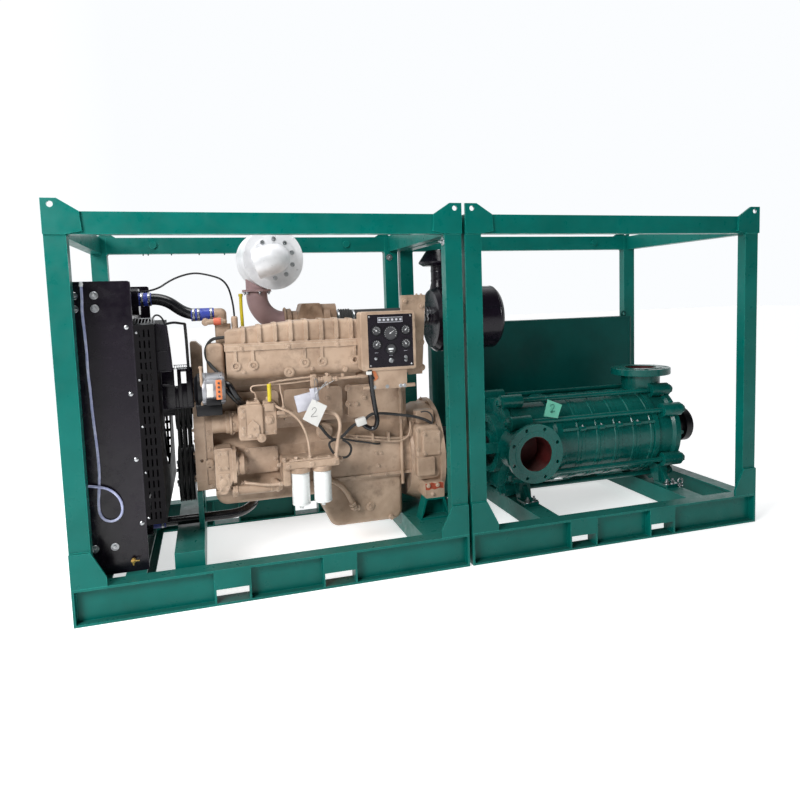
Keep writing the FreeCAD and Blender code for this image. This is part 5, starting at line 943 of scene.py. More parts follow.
@dataclass
class Radiator:
    """Screws, strips and fittings of the radiator, the fan guard and the belt guard."""

    side_face: float = -500
    washer_bolts: Pairs = (
        (-1687, 1448), (-1687, 1390), (-1770, 1448), (-1770, 1390), (-1675, 298), (-1760, 298))
    edge_screws: Pairs = ((-1563, 1302), (-1563, 998), (-1560, 694), (-1554, 393))
    guard_screws: Pairs = ((-1523, 1275), (-1523, 1059), (-1523, 843), (-1523, 628), (-1523, 414))
    dished_washer: Pairs = ((0, 18), (2.2, 18), (3.8, 16.4), (3.8, 14.6), (0.8, 12.4), (0.8, 2))
    flange_screw: Pairs = ((0, 10), (1.5, 10), (3, 7.5), (6, 7), (6.8, 5))
    button_screw: Pairs = ((0, 5.5), (2, 5), (3.4, 3))
    fold_x: Row = (-1787, -1538)
    fold_low: float = 175
    fold_high: float = 1506
    fold_radius: float = 3
    strip_rail: float = 4
    strip_bar: float = 3.5
    strip_slots: int = 6
    long_strip: Box = ((-1534, -452, 1310), (-1450, -448, 1340))
    short_strip: Box = ((-1386, -262, 1078), (-1322, -259, 1100))
    strip_foot: Box = ((-1534, -452, 1308), (-1450, -420, 1311))
    guard_y: float = -440
    guard_outline: Pairs = (
        (-1447, 1312), (-1402, 1306), (-1394, 1290), (-1380, 1095), (-1390, 1086), (-1447, 1086))
    guard_shelf: Box = ((-1447, -442, 1180), (-1400, -400, 1184))
    plate_near: float = -259
    plate_far: float = -255
    plate_parts: tuple[tuple[float, float, float, float], ...] = (
        (-1446, -1386, 884, 1086), (-1386, -1372, 884, 984), (-1372, -1354, 884, 1086),
        (-1354, -1330, 884, 1006), (-1354, -1330, 1064, 1086), (-1330, -1300, 884, 1086))
    plate_arms: tuple[Box, ...] = (
        ((-1330, -257, 990), (-1300, -56, 1010)), ((-1402, -257, 1060), (-1388, -200, 1070)))
    plate_hook: Run = Run(6, (
        (-1395, -255, 1000), (-1420, -255, 1000), (-1447, -262, 1002), (-1449, -270, 1002)))
    stays: tuple[Run, ...] = (
        Run(4, (
            (-1462, -446, 1318), (-1450, -446, 1350), (-1425, -440, 1352), (-1405, -438, 1322),
            (-1404, -438, 1300))),
        Run(6, ((-1404, -436, 1306), (-1372, -420, 1316), (-1330, -392, 1306), (-1318, -360, 1304))),
        Run(7, ((-1318, -360, 1304), (-1316, -330, 1240), (-1316, -300, 1120), (-1316, -262, 1070))))
    cock: Point = (-1600, -494, 228)
    barb: Point = (-1734, -500, 1499)
    barb_tip: Point = (-1734, -506.3, 1508)

    def screws(self) -> None:
        """Add the screws of both side plates, seen from the front and from behind."""
        big, small = Form(), Form()
        for row, way in ((1, Way.FRONT), (-1, Way.REAR)):
            face = self.side_face * row
            for x, z in self.washer_bolts:
                big.turned((x, face, z), way, self.dished_washer, 28)
                big.bolt((x, face, z), way, 17, washer=0.62, stud=4)
            for x, z in self.edge_screws:
                small.turned((x, face, z), way, self.flange_screw, 24)
            for x, z in self.guard_screws:
                small.turned((x, face, z), way, self.button_screw, 16)
        big.piece("side_plate_bolts", ZINC_STEEL)
        small.piece("side_plate_screws", ZINC_STEEL)

    def folds(self) -> None:
        """Add the rolled edges of the side plates."""
        rolled = Form()
        for row in (1, -1):
            y = row * (self.side_face + 2)
            for x in self.fold_x:
                rolled.bead((x, y, self.fold_low), (x, y, self.fold_high), self.fold_radius, 300)
        rolled.piece("side_plate_folds", SHEET_BLACK)

    def strip(self, form: Form, low: Point, high: Point) -> None:
        """Add a slotted steel strip: two flanges joined by slanting bars.

        Args:
            form: the form that gets the strip.
            low: its lowest corner.
            high: its highest corner.
        """
        foot, head = low[2] + self.strip_rail, high[2] - self.strip_rail
        form.block(low, (high[0], high[1], foot), 0.8)
        form.block((low[0], low[1], head), high, 0.8)
        step = (high[0] - low[0]) / self.strip_slots
        for index in range(self.strip_slots + 1):
            x = low[0] + index * step
            slant = step * 0.4 if index < self.strip_slots else 0
            form.prism([(x, low[1], foot), (x + self.strip_bar, low[1], foot),
                        (x + self.strip_bar + slant, low[1], head), (x + slant, low[1], head)],
                       (0, high[1] - low[1], 0))

    def belt_guard(self) -> None:
        """Add the guard's two sheets, their rolled edges and the bent rods that hold them."""
        guard = Form().prism([(x, self.guard_y, z) for x, z in self.guard_outline], (0, 4, 0))
        edge_y = self.guard_y + 2
        guard.bead((-1398, edge_y, 1300), (-1384, edge_y, 1092), 6, 260)
        guard.bead((-1447, edge_y, 1088), (-1388, edge_y, 1088), 5, 260)
        guard.block(*self.guard_shelf, 1)
        guard.piece("belt_guard", SHEET_BLACK)
        plate = Form()
        for left, right, low, high in self.plate_parts:
            plate.block((left, self.plate_near, low), (right, self.plate_far, high), 0.6)
        middle = (self.plate_near + self.plate_far) / 2
        plate.bead((-1446, middle, 884), (-1300, middle, 884), 4, 150)
        for low, high in self.plate_arms:
            plate.block(low, high, 2)
        plate.runs([self.plate_hook])
        plate.piece("belt_guard_plate", SHEET_BLACK)
        Form().runs(self.stays).piece("guard_stays", CAST_BLACK)

    def build(self) -> None:
        """Dress the radiator and add its drain cock and the overflow's barb."""
        self.screws()
        self.folds()
        strips = Form()
        self.strip(strips, *self.long_strip)
        strips.block(*self.strip_foot, 0.8)
        self.strip(strips, *self.short_strip)
        strips.piece("slotted_strips", ZINC_STEEL)
        self.belt_guard()
        cock = Form()
        x, y, z = self.cock
        cock.turned(self.cock, Way.FRONT,
                    [(0, 9), (10, 9), (11, 7), (22, 7), (23, 10), (30, 10), (31, 6)], 20)
        cock.turned((x, y - 23, z + 12), Way.DOWN, [(0, 6), (1, 7), (26, 6), (27, 4.5), (34, 4.5)], 16)
        cock.block((x - 4, y - 36, z - 2), (x + 28, y - 32, z + 4), 1.5)
        cock.piece("radiator_drain_cock", BRASS)
        barb = Form().turned(self.barb, Way.FRONT, [(0, 8), (3, 8), (3.5, 6), (10, 6)], 20)
        barb.turned(self.barb_tip, Way.DOWN,
                    [(0, 5), (2, 7), (6, 7), (8, 7.8), (14, 7.8), (16, 7), (20, 7)], 20)
        barb.piece("overflow_barb", DIAL_WHITE)


@dataclass
class CoolingPipes:
    """Silicone sleeves and clamps on the coolant pipes, and the branch at the thermostat."""

    pipe_y: float = -110
    high: float = 1428
    low: float = 1342
    sleeve_inner: float = 29.3
    sleeve_outer: float = 33
    high_sleeve: Pair = (-1541, -1478)
    low_sleeve: Pair = (-1292, -1179)
    high_clamps: Row = (-1528, -1494)
    low_clamps: Row = (-1286, -1262, -1200)
    lower_hose: Point = (-1536, -135, 275)
    lower_clamp_x: float = -1498
    lower_radius: float = 28
    branch_near: Run = Run(13, (
        (-1128, -148, 1304), (-1128, -174, 1305), (-1136, -178, 1305), (-1152, -178, 1305)))
    branch_far: Run = Run(15, (
        (-1182, -178, 1305), (-1206, -178, 1304), (-1222, -176, 1302), (-1224, -150, 1302),
        (-1224, -118, 1318)))
    branch_union: Point = (-1136, -178, 1305)
    branch_cap: Point = (-1224, -190, 1302)
    branch_sleeve: Point = (-1148, -178, 1305)

    def build(self) -> None:
        """Add the sleeves, their clamps and the small branch at the thermostat."""
        sleeves = Form()
        inner, outer = self.sleeve_inner, self.sleeve_outer
        for (start, end), z in ((self.high_sleeve, self.high), (self.low_sleeve, self.low)):
            length = end - start
            sleeves.turned((start, self.pipe_y, z), Way.RIGHT,
                           [(0, inner), (0, outer - 1), (1, outer), (length - 1, outer),
                            (length, outer - 1), (length, inner)], 40, loop=True)
        sleeves.piece("coolant_sleeves", BLUE_SILICONE)
        clamps = Form()
        for starts, z in ((self.high_clamps, self.high), (self.low_clamps, self.low)):
            for start in starts:
                clamps.clamp((start, self.pipe_y, z), Way.RIGHT, outer)
        clamps.piece("coolant_clamps", ZINC_STEEL)
        lower = Form().sleeve(self.lower_hose, Way.RIGHT, 24.3, self.lower_radius, 60, 36)
        lower.piece("lower_hose_sleeve", BLUE_SILICONE)
        band = Form().clamp((self.lower_clamp_x, *self.lower_hose[1:]), Way.RIGHT, self.lower_radius)
        band.piece("lower_hose_clamp", ZINC_STEEL)
        branch = Form().runs([self.branch_near])
        branch.union(self.branch_union, Way.LEFT, 30, 16)
        branch.runs([self.branch_far])
        branch.turned(self.branch_cap, Way.REAR, [(0, 14), (3, 18), (12, 18), (14, 15)], 24)
        branch.piece("thermostat_branch", ENGINE_BEIGE)
        Form().sleeve(self.branch_sleeve, Way.LEFT, 15, 19, 36, 32).piece("branch_sleeve", RED_SILICONE)


@dataclass
class IntakeSide:
    """Screws and plugs on the ribbed intake cover and its housing."""

    face: float = -300
    rim_bolts: Row = (-1059, -825, -572, -320)
    rim_y: float = -312
    rim_z: float = 1168
    ridge_first: float = -1046
    ridge_pitch: float = 79
    ridge_count: int = 10
    ridge_z: float = 1192
    rings: Row = (-1090, -1005, -745, -655)
    ring_z: float = 1080
    port_x: float = -826
    port_z: float = 1033
    plugs: tuple[tuple[float, float, float], ...] = ((-1051, 1049, 14), (-708, 1045, 12), (-534, 1032, 20))
    breather_union: Point = (-1110, -200, 1222)
    air_hose: Run = Run(8.5, (
        (-1130, -200, 1222), (-1160, -198, 1222), (-1205, -192, 1214), (-1236, -200, 1160),
        (-1222, -222, 1096), (-1176, -296, 1050), (-1140, -318, 990), (-1100, -318, 930),
        (-1080, -260, 884)))

    def build(self) -> None:
        """Add the screws, the ring plugs, the pipe plugs and the hose at the left end."""
        screws = Form().bolts([(x, self.rim_y, self.rim_z) for x in self.rim_bolts], Way.FRONT, 13)
        screws.bolts([(self.ridge_first + index * self.ridge_pitch, self.face, self.ridge_z)
                      for index in range(self.ridge_count)], Way.UP, 10, washer=0.9)
        screws.piece("intake_bolts", ENGINE_BEIGE)
        plugs = Form()
        for x in self.rings:
            plugs.turned((x, self.face, self.ring_z), Way.FRONT,
                         [(0, 12.6), (2, 12.6), (3, 11), (3, 7), (1, 6)], 24)
        plugs.turned((self.port_x, self.face, self.port_z), Way.FRONT,
                     [(0, 27), (5, 27), (7, 24), (7, 15), (3, 13)], 36)
        plugs.turned((self.port_x, self.face - 3, self.port_z), Way.FRONT, [(0, 8), (5, 8), (6, 6)], 6)
        for x, z, across in self.plugs:
            plugs.bolt((x, self.face, z), Way.FRONT, across, washer=0.8)
        plugs.piece("intake_plugs", ENGINE_BEIGE)
        Form().union(self.breather_union, Way.LEFT, 22, 26).piece("breather_union", BRASS)
        Form().runs([self.air_hose]).piece("air_control_hose", BLACK_RUBBER)


@dataclass
class FuelSystem:
    """Details of the fuel pump, its pipes and the filters."""

    face: float = -342
    pump_top: float = 896
    plates: tuple[tuple[Point, Point, float], ...] = (
        ((-1086, -346, 726), (-1056, -340, 866), 2), ((-1050, -330, 882), (-984, -220, 896), 3),
        ((-968, -322, 880), (-912, -240, 893), 4))
    end_cap: Point = (-984, -342, 712)
    governor: Point = (-940, -318, 800)
    boost_can: Point = (-902, -280, 812)
    drive_flange: Point = (-1134, -270, 790)
    lever_plate: Box = ((-962, -338, 845), (-915, -322, 884))
    stop_plate: Box = ((-902, -336, 822), (-860, -318, 840))
    plate_screws: Row = (738, 770, 822, 854)
    body_screws: Pairs = ((-1023, 764), (-1036, 730), (-1006, 730))
    stop_sleeve: Run = Run(10, ((-935, -330, 896), (-934, -338, 920), (-935, -345, 985)))
    fuel_lines: tuple[Run, ...] = (
        Run(4, (
            (-1000, -300, 912), (-1000, -318, 940), (-1024, -322, 950), (-1022, -320, 976),
            (-990, -318, 978), (-861, -316, 976), (-744, -316, 984), (-706, -318, 986))),
        Run(4, ((-879, -318, 977), (-878, -320, 940), (-868, -330, 900), (-868, -330, 860))),
        Run(5, ((-935, -345, 985), (-931, -330, 990), (-825, -328, 1000), (-720, -326, 1004))),
        Run(7, ((-576, -318, 986), (-520, -318, 988), (-443, -318, 990), (-420, -318, 990))))
    line_y: float = -318
    line_z: float = 986
    line_unions: Row = (-706, -672, -596)
    return_hoses: tuple[Run, ...] = (
        Run(6.5, (
            (-906, -310, 868), (-900, -345, 862), (-836, -352, 835), (-785, -364, 780),
            (-755, -376, 696), (-750, -380, 608), (-750, -380, 588))),
        Run(9.5, (
            (-690, -188, 806), (-672, -262, 808), (-640, -310, 812), (-596, -334, 804),
            (-578, -352, 748), (-602, -375, 671), (-614, -382, 600), (-614, -382, 586))))
    supply: Run = Run(8, (
        (-1070, -300, 476), (-1030, -318, 474), (-985, -335, 466), (-930, -352, 466), (-888, -352, 470)))
    filter_feet: Pairs = ((-800, 350), (-687, 354))
    filter_y: float = -352
    filter_seal: float = 519
    filter_beads: Pair = (150, 158)
    head_face: float = -400
    head_mid: float = 566
    head_top: float = 586
    head_unions: Row = (-880, -820, -750, -614)
    head_bolts: Row = (-838, -778, -712, -652)
    tag_y: float = -386
    tag_outline: Pairs = ((-726, 898), (-652, 856), (-706, 751), (-780, 798))
    tag_wires: tuple[Run, ...] = (
        Run(1.3, (
            (-704, -387, 878), (-712, -372, 930), (-706, -352, 985), (-698, -340, 1004),
            (-684, -346, 960), (-696, -380, 900), (-704, -383, 878))),
        Run(2, ((-640, -333, 975), (-672, -350, 950), (-700, -360, 930), (-712, -356, 905))),
        Run(1.6, ((-600, -333, 978), (-650, -352, 962), (-690, -362, 935), (-700, -357, 915))))
    tag_number: Pairs = (
        (-730, 842), (-722, 856), (-706, 848), (-712, 830), (-734, 812), (-738, 806), (-722, 806),
        (-704, 808))

    def pump(self) -> None:
        """Add the fuel pump's covers, screws and levers."""
        body = Form()
        for low, high, bevel in self.plates:
            body.block(low, high, bevel)
        body.turned(self.end_cap, Way.FRONT, [(0, 22), (8, 22), (10, 19), (10, 8), (14, 8), (15, 6)], 28)
        body.turned(self.governor, Way.FRONT, [(0, 26), (8, 26), (12, 22), (14, 14), (20, 12)], 28)
        body.turned(self.boost_can, Way.RIGHT,
                    [(0, 22), (10, 22), (12, 17), (50, 17), (52, 13), (90, 13)], 24)
        body.turned(self.drive_flange, Way.RIGHT, [(0, 60), (8, 60), (12, 52), (40, 50)], 36)
        body.block(*self.lever_plate, 4)
        for at, across, length in (((-940, -300, 893), 22, 22), ((-1000, -300, 896), 18, 18),
                                   ((-868, -330, 838), 16, 26)):
            body.union(at, Way.UP, across, length)
        body.block(*self.stop_plate, 3)
        body.piece("fuel_pump_covers", ENGINE_BEIGE)
        screws = Form()
        screws.bolts([(-1071, self.face - 4, z) for z in self.plate_screws], Way.FRONT, 9, washer=0.8)
        screws.bolts([(x, y, self.pump_top) for x in (-1042, -992) for y in (-318, -232)], Way.UP, 9,
                     washer=0.8)
        x, y, z = self.governor
        screws.bolts(around((x, y - 8, z), Way.FRONT, 20, 4, 45), Way.FRONT, 7, washer=0.8)
        screws.bolts([(x, self.face - 9, z) for x, z in self.body_screws], Way.FRONT, 10, washer=0.9)
        x, y, z = self.drive_flange
        screws.bolts(around((x + 12, y, z), Way.RIGHT, 54, 6, 30), Way.RIGHT, 12, washer=0.9)
        screws.bolts([(x, -324, z) for x in (-959, -914) for z in (736, 868)], Way.FRONT, 9, washer=0.8)
        screws.piece("fuel_pump_screws", ENGINE_BEIGE)
        Form().runs([self.stop_sleeve]).piece("stop_lever_sleeve", YELLOW_PLASTIC)

    def pipes(self) -> None:
        """Add the thin pipes, the rod and the fittings under the intake housing."""
        Form().runs(self.fuel_lines).piece("fuel_lines", ENGINE_BEIGE)
        knots = Form()
        for x in self.line_unions:
            knots.union((x - 14, self.line_y, self.line_z), Way.RIGHT, 24, 32)
        knots.block((-656, -332, 970), (-612, -304, 1003), 4)
        knots.turned((-634, self.line_y, 1003), Way.UP, [(0, 9), (8, 9), (9, 12), (15, 12), (16, 8)], 6)
        knots.union((-634, self.line_y, 972), Way.DOWN, 18, 34)
        knots.block((-724, -330, 952), (-690, -300, 1016), 5)
        knots.union((-707, -316, 955), Way.DOWN, 22, 40)
        knots.bolt((-707, -330, 996), Way.FRONT, 14)
        for low, high, bevel in (((-640, -318, 940), (-626, -190, 946), 2),
                                 ((-560, -322, 980), (-545, -300, 1010), 3),
                                 ((-455, -322, 980), (-425, -190, 998), 3)):
            knots.block(low, high, bevel)
        knots.piece("fuel_fittings", ENGINE_BEIGE)
        Form().runs(self.return_hoses).piece("return_hoses", ENGINE_BEIGE)
        supply = Form().runs([self.supply])
        supply.union((-1098, -292, 478), Way.RIGHT, 24, 32)
        supply.union((-912, self.filter_y, 468), Way.RIGHT, 22, 24)
        supply.piece("supply_pipe", ENGINE_BEIGE)

    def filters(self) -> None:
        """Add the rolled rims, seals and drains of the spin-on cans and the ports of their head."""
        rims, seals = Form(), Form()
        for x, low in self.filter_feet:
            at = (x, self.filter_y, low)
            rims.turned(at, Way.UP, [(1, 40), (0, 44), (3, 46.6), (8, 46.6), (10, 46)], 48)
            for height in self.filter_beads:
                rims.turned((x, self.filter_y, low + height), Way.UP,
                            [(0, 46), (1.5, 47), (4, 47), (5.5, 46)], 48, caps=False)
            rims.turned(at, Way.DOWN,
                        [(0, 20), (3, 20), (4, 14), (12, 14), (13, 11), (20, 11), (21, 8)], 24)
            seals.turned((x, self.filter_y, self.filter_seal), Way.UP,
                         [(0, 44), (0, 47), (4, 47.4), (4, 44)], 48, loop=True)
        rims.piece("filter_can_rims", WHITE_ENAMEL)
        seals.piece("filter_seals", BLACK_RUBBER)
        head = Form()
        for x in self.head_unions:
            head.union((x, -380, self.head_top - 1), Way.UP, 22, 22)
        head.bolts([(x, -376, self.head_top) for x in self.head_bolts], Way.UP, 14)
        head.union((-895, self.filter_y, self.head_mid - 1), Way.LEFT, 24, 20)
        head.union((-600, self.filter_y, self.head_mid - 1), Way.RIGHT, 26, 24)
        head.turned((-744, self.head_face, self.head_mid), Way.FRONT,
                    [(0, 14), (4, 14), (6, 12), (6, 5), (3, 4)], 24)
        head.bolts([(x, self.head_face, self.head_mid) for x in (-862, -626)], Way.FRONT, 12)
        head.block((-858, -398, self.head_top), (-640, -300, self.head_top + 6), 2)
        head.piece("filter_head_ports", ENGINE_BEIGE)

    def labels(self) -> None:
        """Add the hanging tag with its number, the pale box and the wires that hold them."""
        box = Form().block((-806, -352, 836), (-696, -334, 924), 4, tilt=-11)
        box.block((-730, -358, 880), (-690, -352, 950), 6, tilt=-8)
        box.piece("sensor_box", GREY_PLASTIC)
        tag = Form().prism([(x, self.tag_y, z) for x, z in self.tag_outline], (0, 1.6, 0))
        tag.piece("engine_tag", WHITE_CARD)
        Form().runs(self.tag_wires).piece("tag_wire", ZINC_STEEL)
        mark = Form().pipe([(x, self.tag_y - 0.4, z) for x, z in self.tag_number], 1)
        mark.piece("tag_number", BLACK_PLASTIC)

    def build(self) -> None:
        """Dress the fuel system."""
        self.pump()
        self.pipes()
        self.filters()
        self.labels()


@dataclass
class Electrics:
    """Alternator trim and the wiring looms clipped along the engine."""

    shell_left: float = -1256
    shell_right: float = -1154
    axis: Pair = (-330, 978)
    shell_radius: float = 79
    lug_count: int = 4
    vent_count: int = 22
    vent_inset: float = 12
    fan_x: float = -1294
    brackets: tuple[tuple[Point, Point, float], ...] = (
        ((-1288, -368, 848), (-1166, -292, 906), 6), ((-1240, -410, 905), (-1170, -384, 934), 4))
    terminals: Box = ((-1192, -414, 932), (-1164, -404, 1028))
    terminal_z: Row = (948, 970, 992, 1012)
    blank_plate: Box = ((-1236, -409, 945), (-1204, -400, 1010))
    vent_pipe: Run = Run(7, (
        (-1258, -400, 1092), (-1257, -400, 1040), (-1257, -398, 940), (-1261, -340, 886),
        (-1270, -280, 876), (-1278, -258, 866)))
    main_loom: tuple[Run, ...] = (
        Run(13, (
            (-424, -392, 1030), (-418, -388, 985), (-413, -380, 925), (-391, -352, 807),
            (-372, -322, 748), (-384, -302, 700), (-426, -290, 704), (-448, -288, 730))),
        Run(15, (
            (-1150, -330, 1000), (-1128, -352, 1000), (-1108, -350, 950), (-1080, -320, 905),
            (-1050, -260, 870), (-1040, -190, 850))),
        Run(9, (
            (-1150, -360, 970), (-1136, -366, 960), (-1112, -352, 925), (-1086, -320, 890),
            (-1060, -250, 860))))
    thin_looms: tuple[Run, ...] = (
        Run(8, (
            (-448, -288, 730), (-421, -290, 780), (-340, -284, 778), (-282, -280, 768),
            (-160, -270, 745), (-112, -262, 727), (-80, -262, 715), (-46, -250, 690))),
        Run(8, (
            (-440, -288, 745), (-496, -272, 730), (-554, -262, 664), (-602, -262, 646),
            (-640, -262, 680), (-670, -262, 728), (-690, -200, 748))),
        Run(6, (
            (-602, -268, 650), (-639, -285, 650), (-628, -300, 605), (-597, -310, 566),
            (-537, -302, 556), (-512, -290, 600), (-530, -285, 636), (-560, -280, 650))),
        Run(5, (
            (-560, -262, 655), (-500, -252, 634), (-420, -248, 618), (-359, -246, 600),
            (-340, -210, 596))),
        Run(4, ((-112, -262, 762), (-92, -272, 770), (-60, -272, 756), (-40, -266, 716), (-52, -264, 690))),
        Run(4, ((-428, -392, 1010), (-400, -392, 985), (-392, -380, 968), (-412, -360, 950))))
    wire_shifts: Row = (0, 6, 12)
    oil_lines: tuple[Run, ...] = (
        Run(6, (
            (-560, -205, 655), (-549, -236, 652), (-374, -234, 624), (-260, -232, 606),
            (-212, -232, 606), (-172, -232, 632), (-164, -232, 690), (-164, -220, 706))),
        Run(6, (
            (-560, -205, 668), (-540, -232, 665), (-374, -230, 640), (-262, -230, 622),
            (-190, -230, 622), (-180, -215, 626))))
    saddle_x: Row = (-480, -390, -300)

    def alternator(self) -> None:
        """Add the alternator's end shields, its vents, its fan and its terminal block."""
        at = (self.shell_left, *self.axis)
        length = self.shell_right - self.shell_left
        radius = self.shell_radius
        shell = Form()
        shell.turned(at, Way.RIGHT, [
            (0, 74), (0, radius), (4, radius + 2), (18, radius + 2), (20, radius), (length - 22, radius),
            (length - 20, radius + 2), (length - 6, radius + 2), (length + 6, 70), (length + 8, 44),
            (length + 8, 40)], 56)
        for place in around((self.shell_left - 2, *self.axis), Way.RIGHT, radius - 2, self.lug_count, 45):
            shell.turned(place, Way.RIGHT, [(0, 8), (length + 4, 8), (length + 6, 6)], 16)
        shell.piece("alternator_shields", DIE_CASTING)
        vents = Form()
        middle = (self.shell_right - self.vent_inset, *self.axis)
        for place in around(middle, Way.RIGHT, radius + 1.2, self.vent_count):
            vents.turned(place, Vector(place) - Vector(middle), [(0, 3.6), (1.2, 3.4)], 12)
        vents.turned((self.fan_x, *self.axis), Way.RIGHT, [(0, 52), (3, 60), (30, 60), (33, 52)], 40)
        for low, high, bevel in self.brackets:
            vents.block(low, high, bevel)
        vents.piece("alternator_fan_and_bracket", CAST_BLACK)
        Form().block(*self.terminals, 2).piece("terminal_block", ORANGE_PLASTIC)
        low, high = self.terminals
        posts = Form()
        posts.bolts([((low[0] + high[0]) / 2, low[1], z) for z in self.terminal_z], Way.FRONT, 8, washer=0.7)
        posts.piece("terminal_posts", BLACK_PLASTIC)
        Form().block(*self.blank_plate, 2).piece("alternator_blank_plate", WHITE_CARD)
        tube = Form().runs([self.vent_pipe])
        x, y, z = self.vent_pipe.route[0]
        tube.turned((x, y, z - 4), Way.UP, [(0, 10), (8, 10), (10, 6)], 16)
        tube.piece("vent_pipe", ENGINE_BEIGE)

    def looms(self) -> None:
        """Add the looms in their corrugated sleeves, with tape, wires and the oil lines beside them."""
        Form().runs(self.main_loom).piece("main_loom", GLOSS_RUBBER)
        Form().runs(self.thin_looms).piece("engine_looms", BLACK_RUBBER)
        orange = Form()
        for shift in self.wire_shifts:
            orange.pipe([(-412 + shift, -392, 1024), (-398 + shift, -396, 1000), (-392 + shift, -392, 978),
                         (-410, -378, 962)], 1.8)
        orange.piece("sender_wires", ORANGE_PLASTIC)
        tape = Form().block((-486, -306, 722), (-430, -272, 764), 5, tilt=-16)
        tape.block((-443, -406, 1004), (-415, -388, 1022), 3)
        tape.piece("loom_tape", WHITE_CARD)
        lines = Form().runs(self.oil_lines)
        for x in self.saddle_x:
            lines.block((x, -240, 612), (x + 14, -204, 662), 3)
        lines.piece("oil_lines", ENGINE_BEIGE)

    def build(self) -> None:
        """Dress the electrics."""
        self.alternator()
        self.looms()


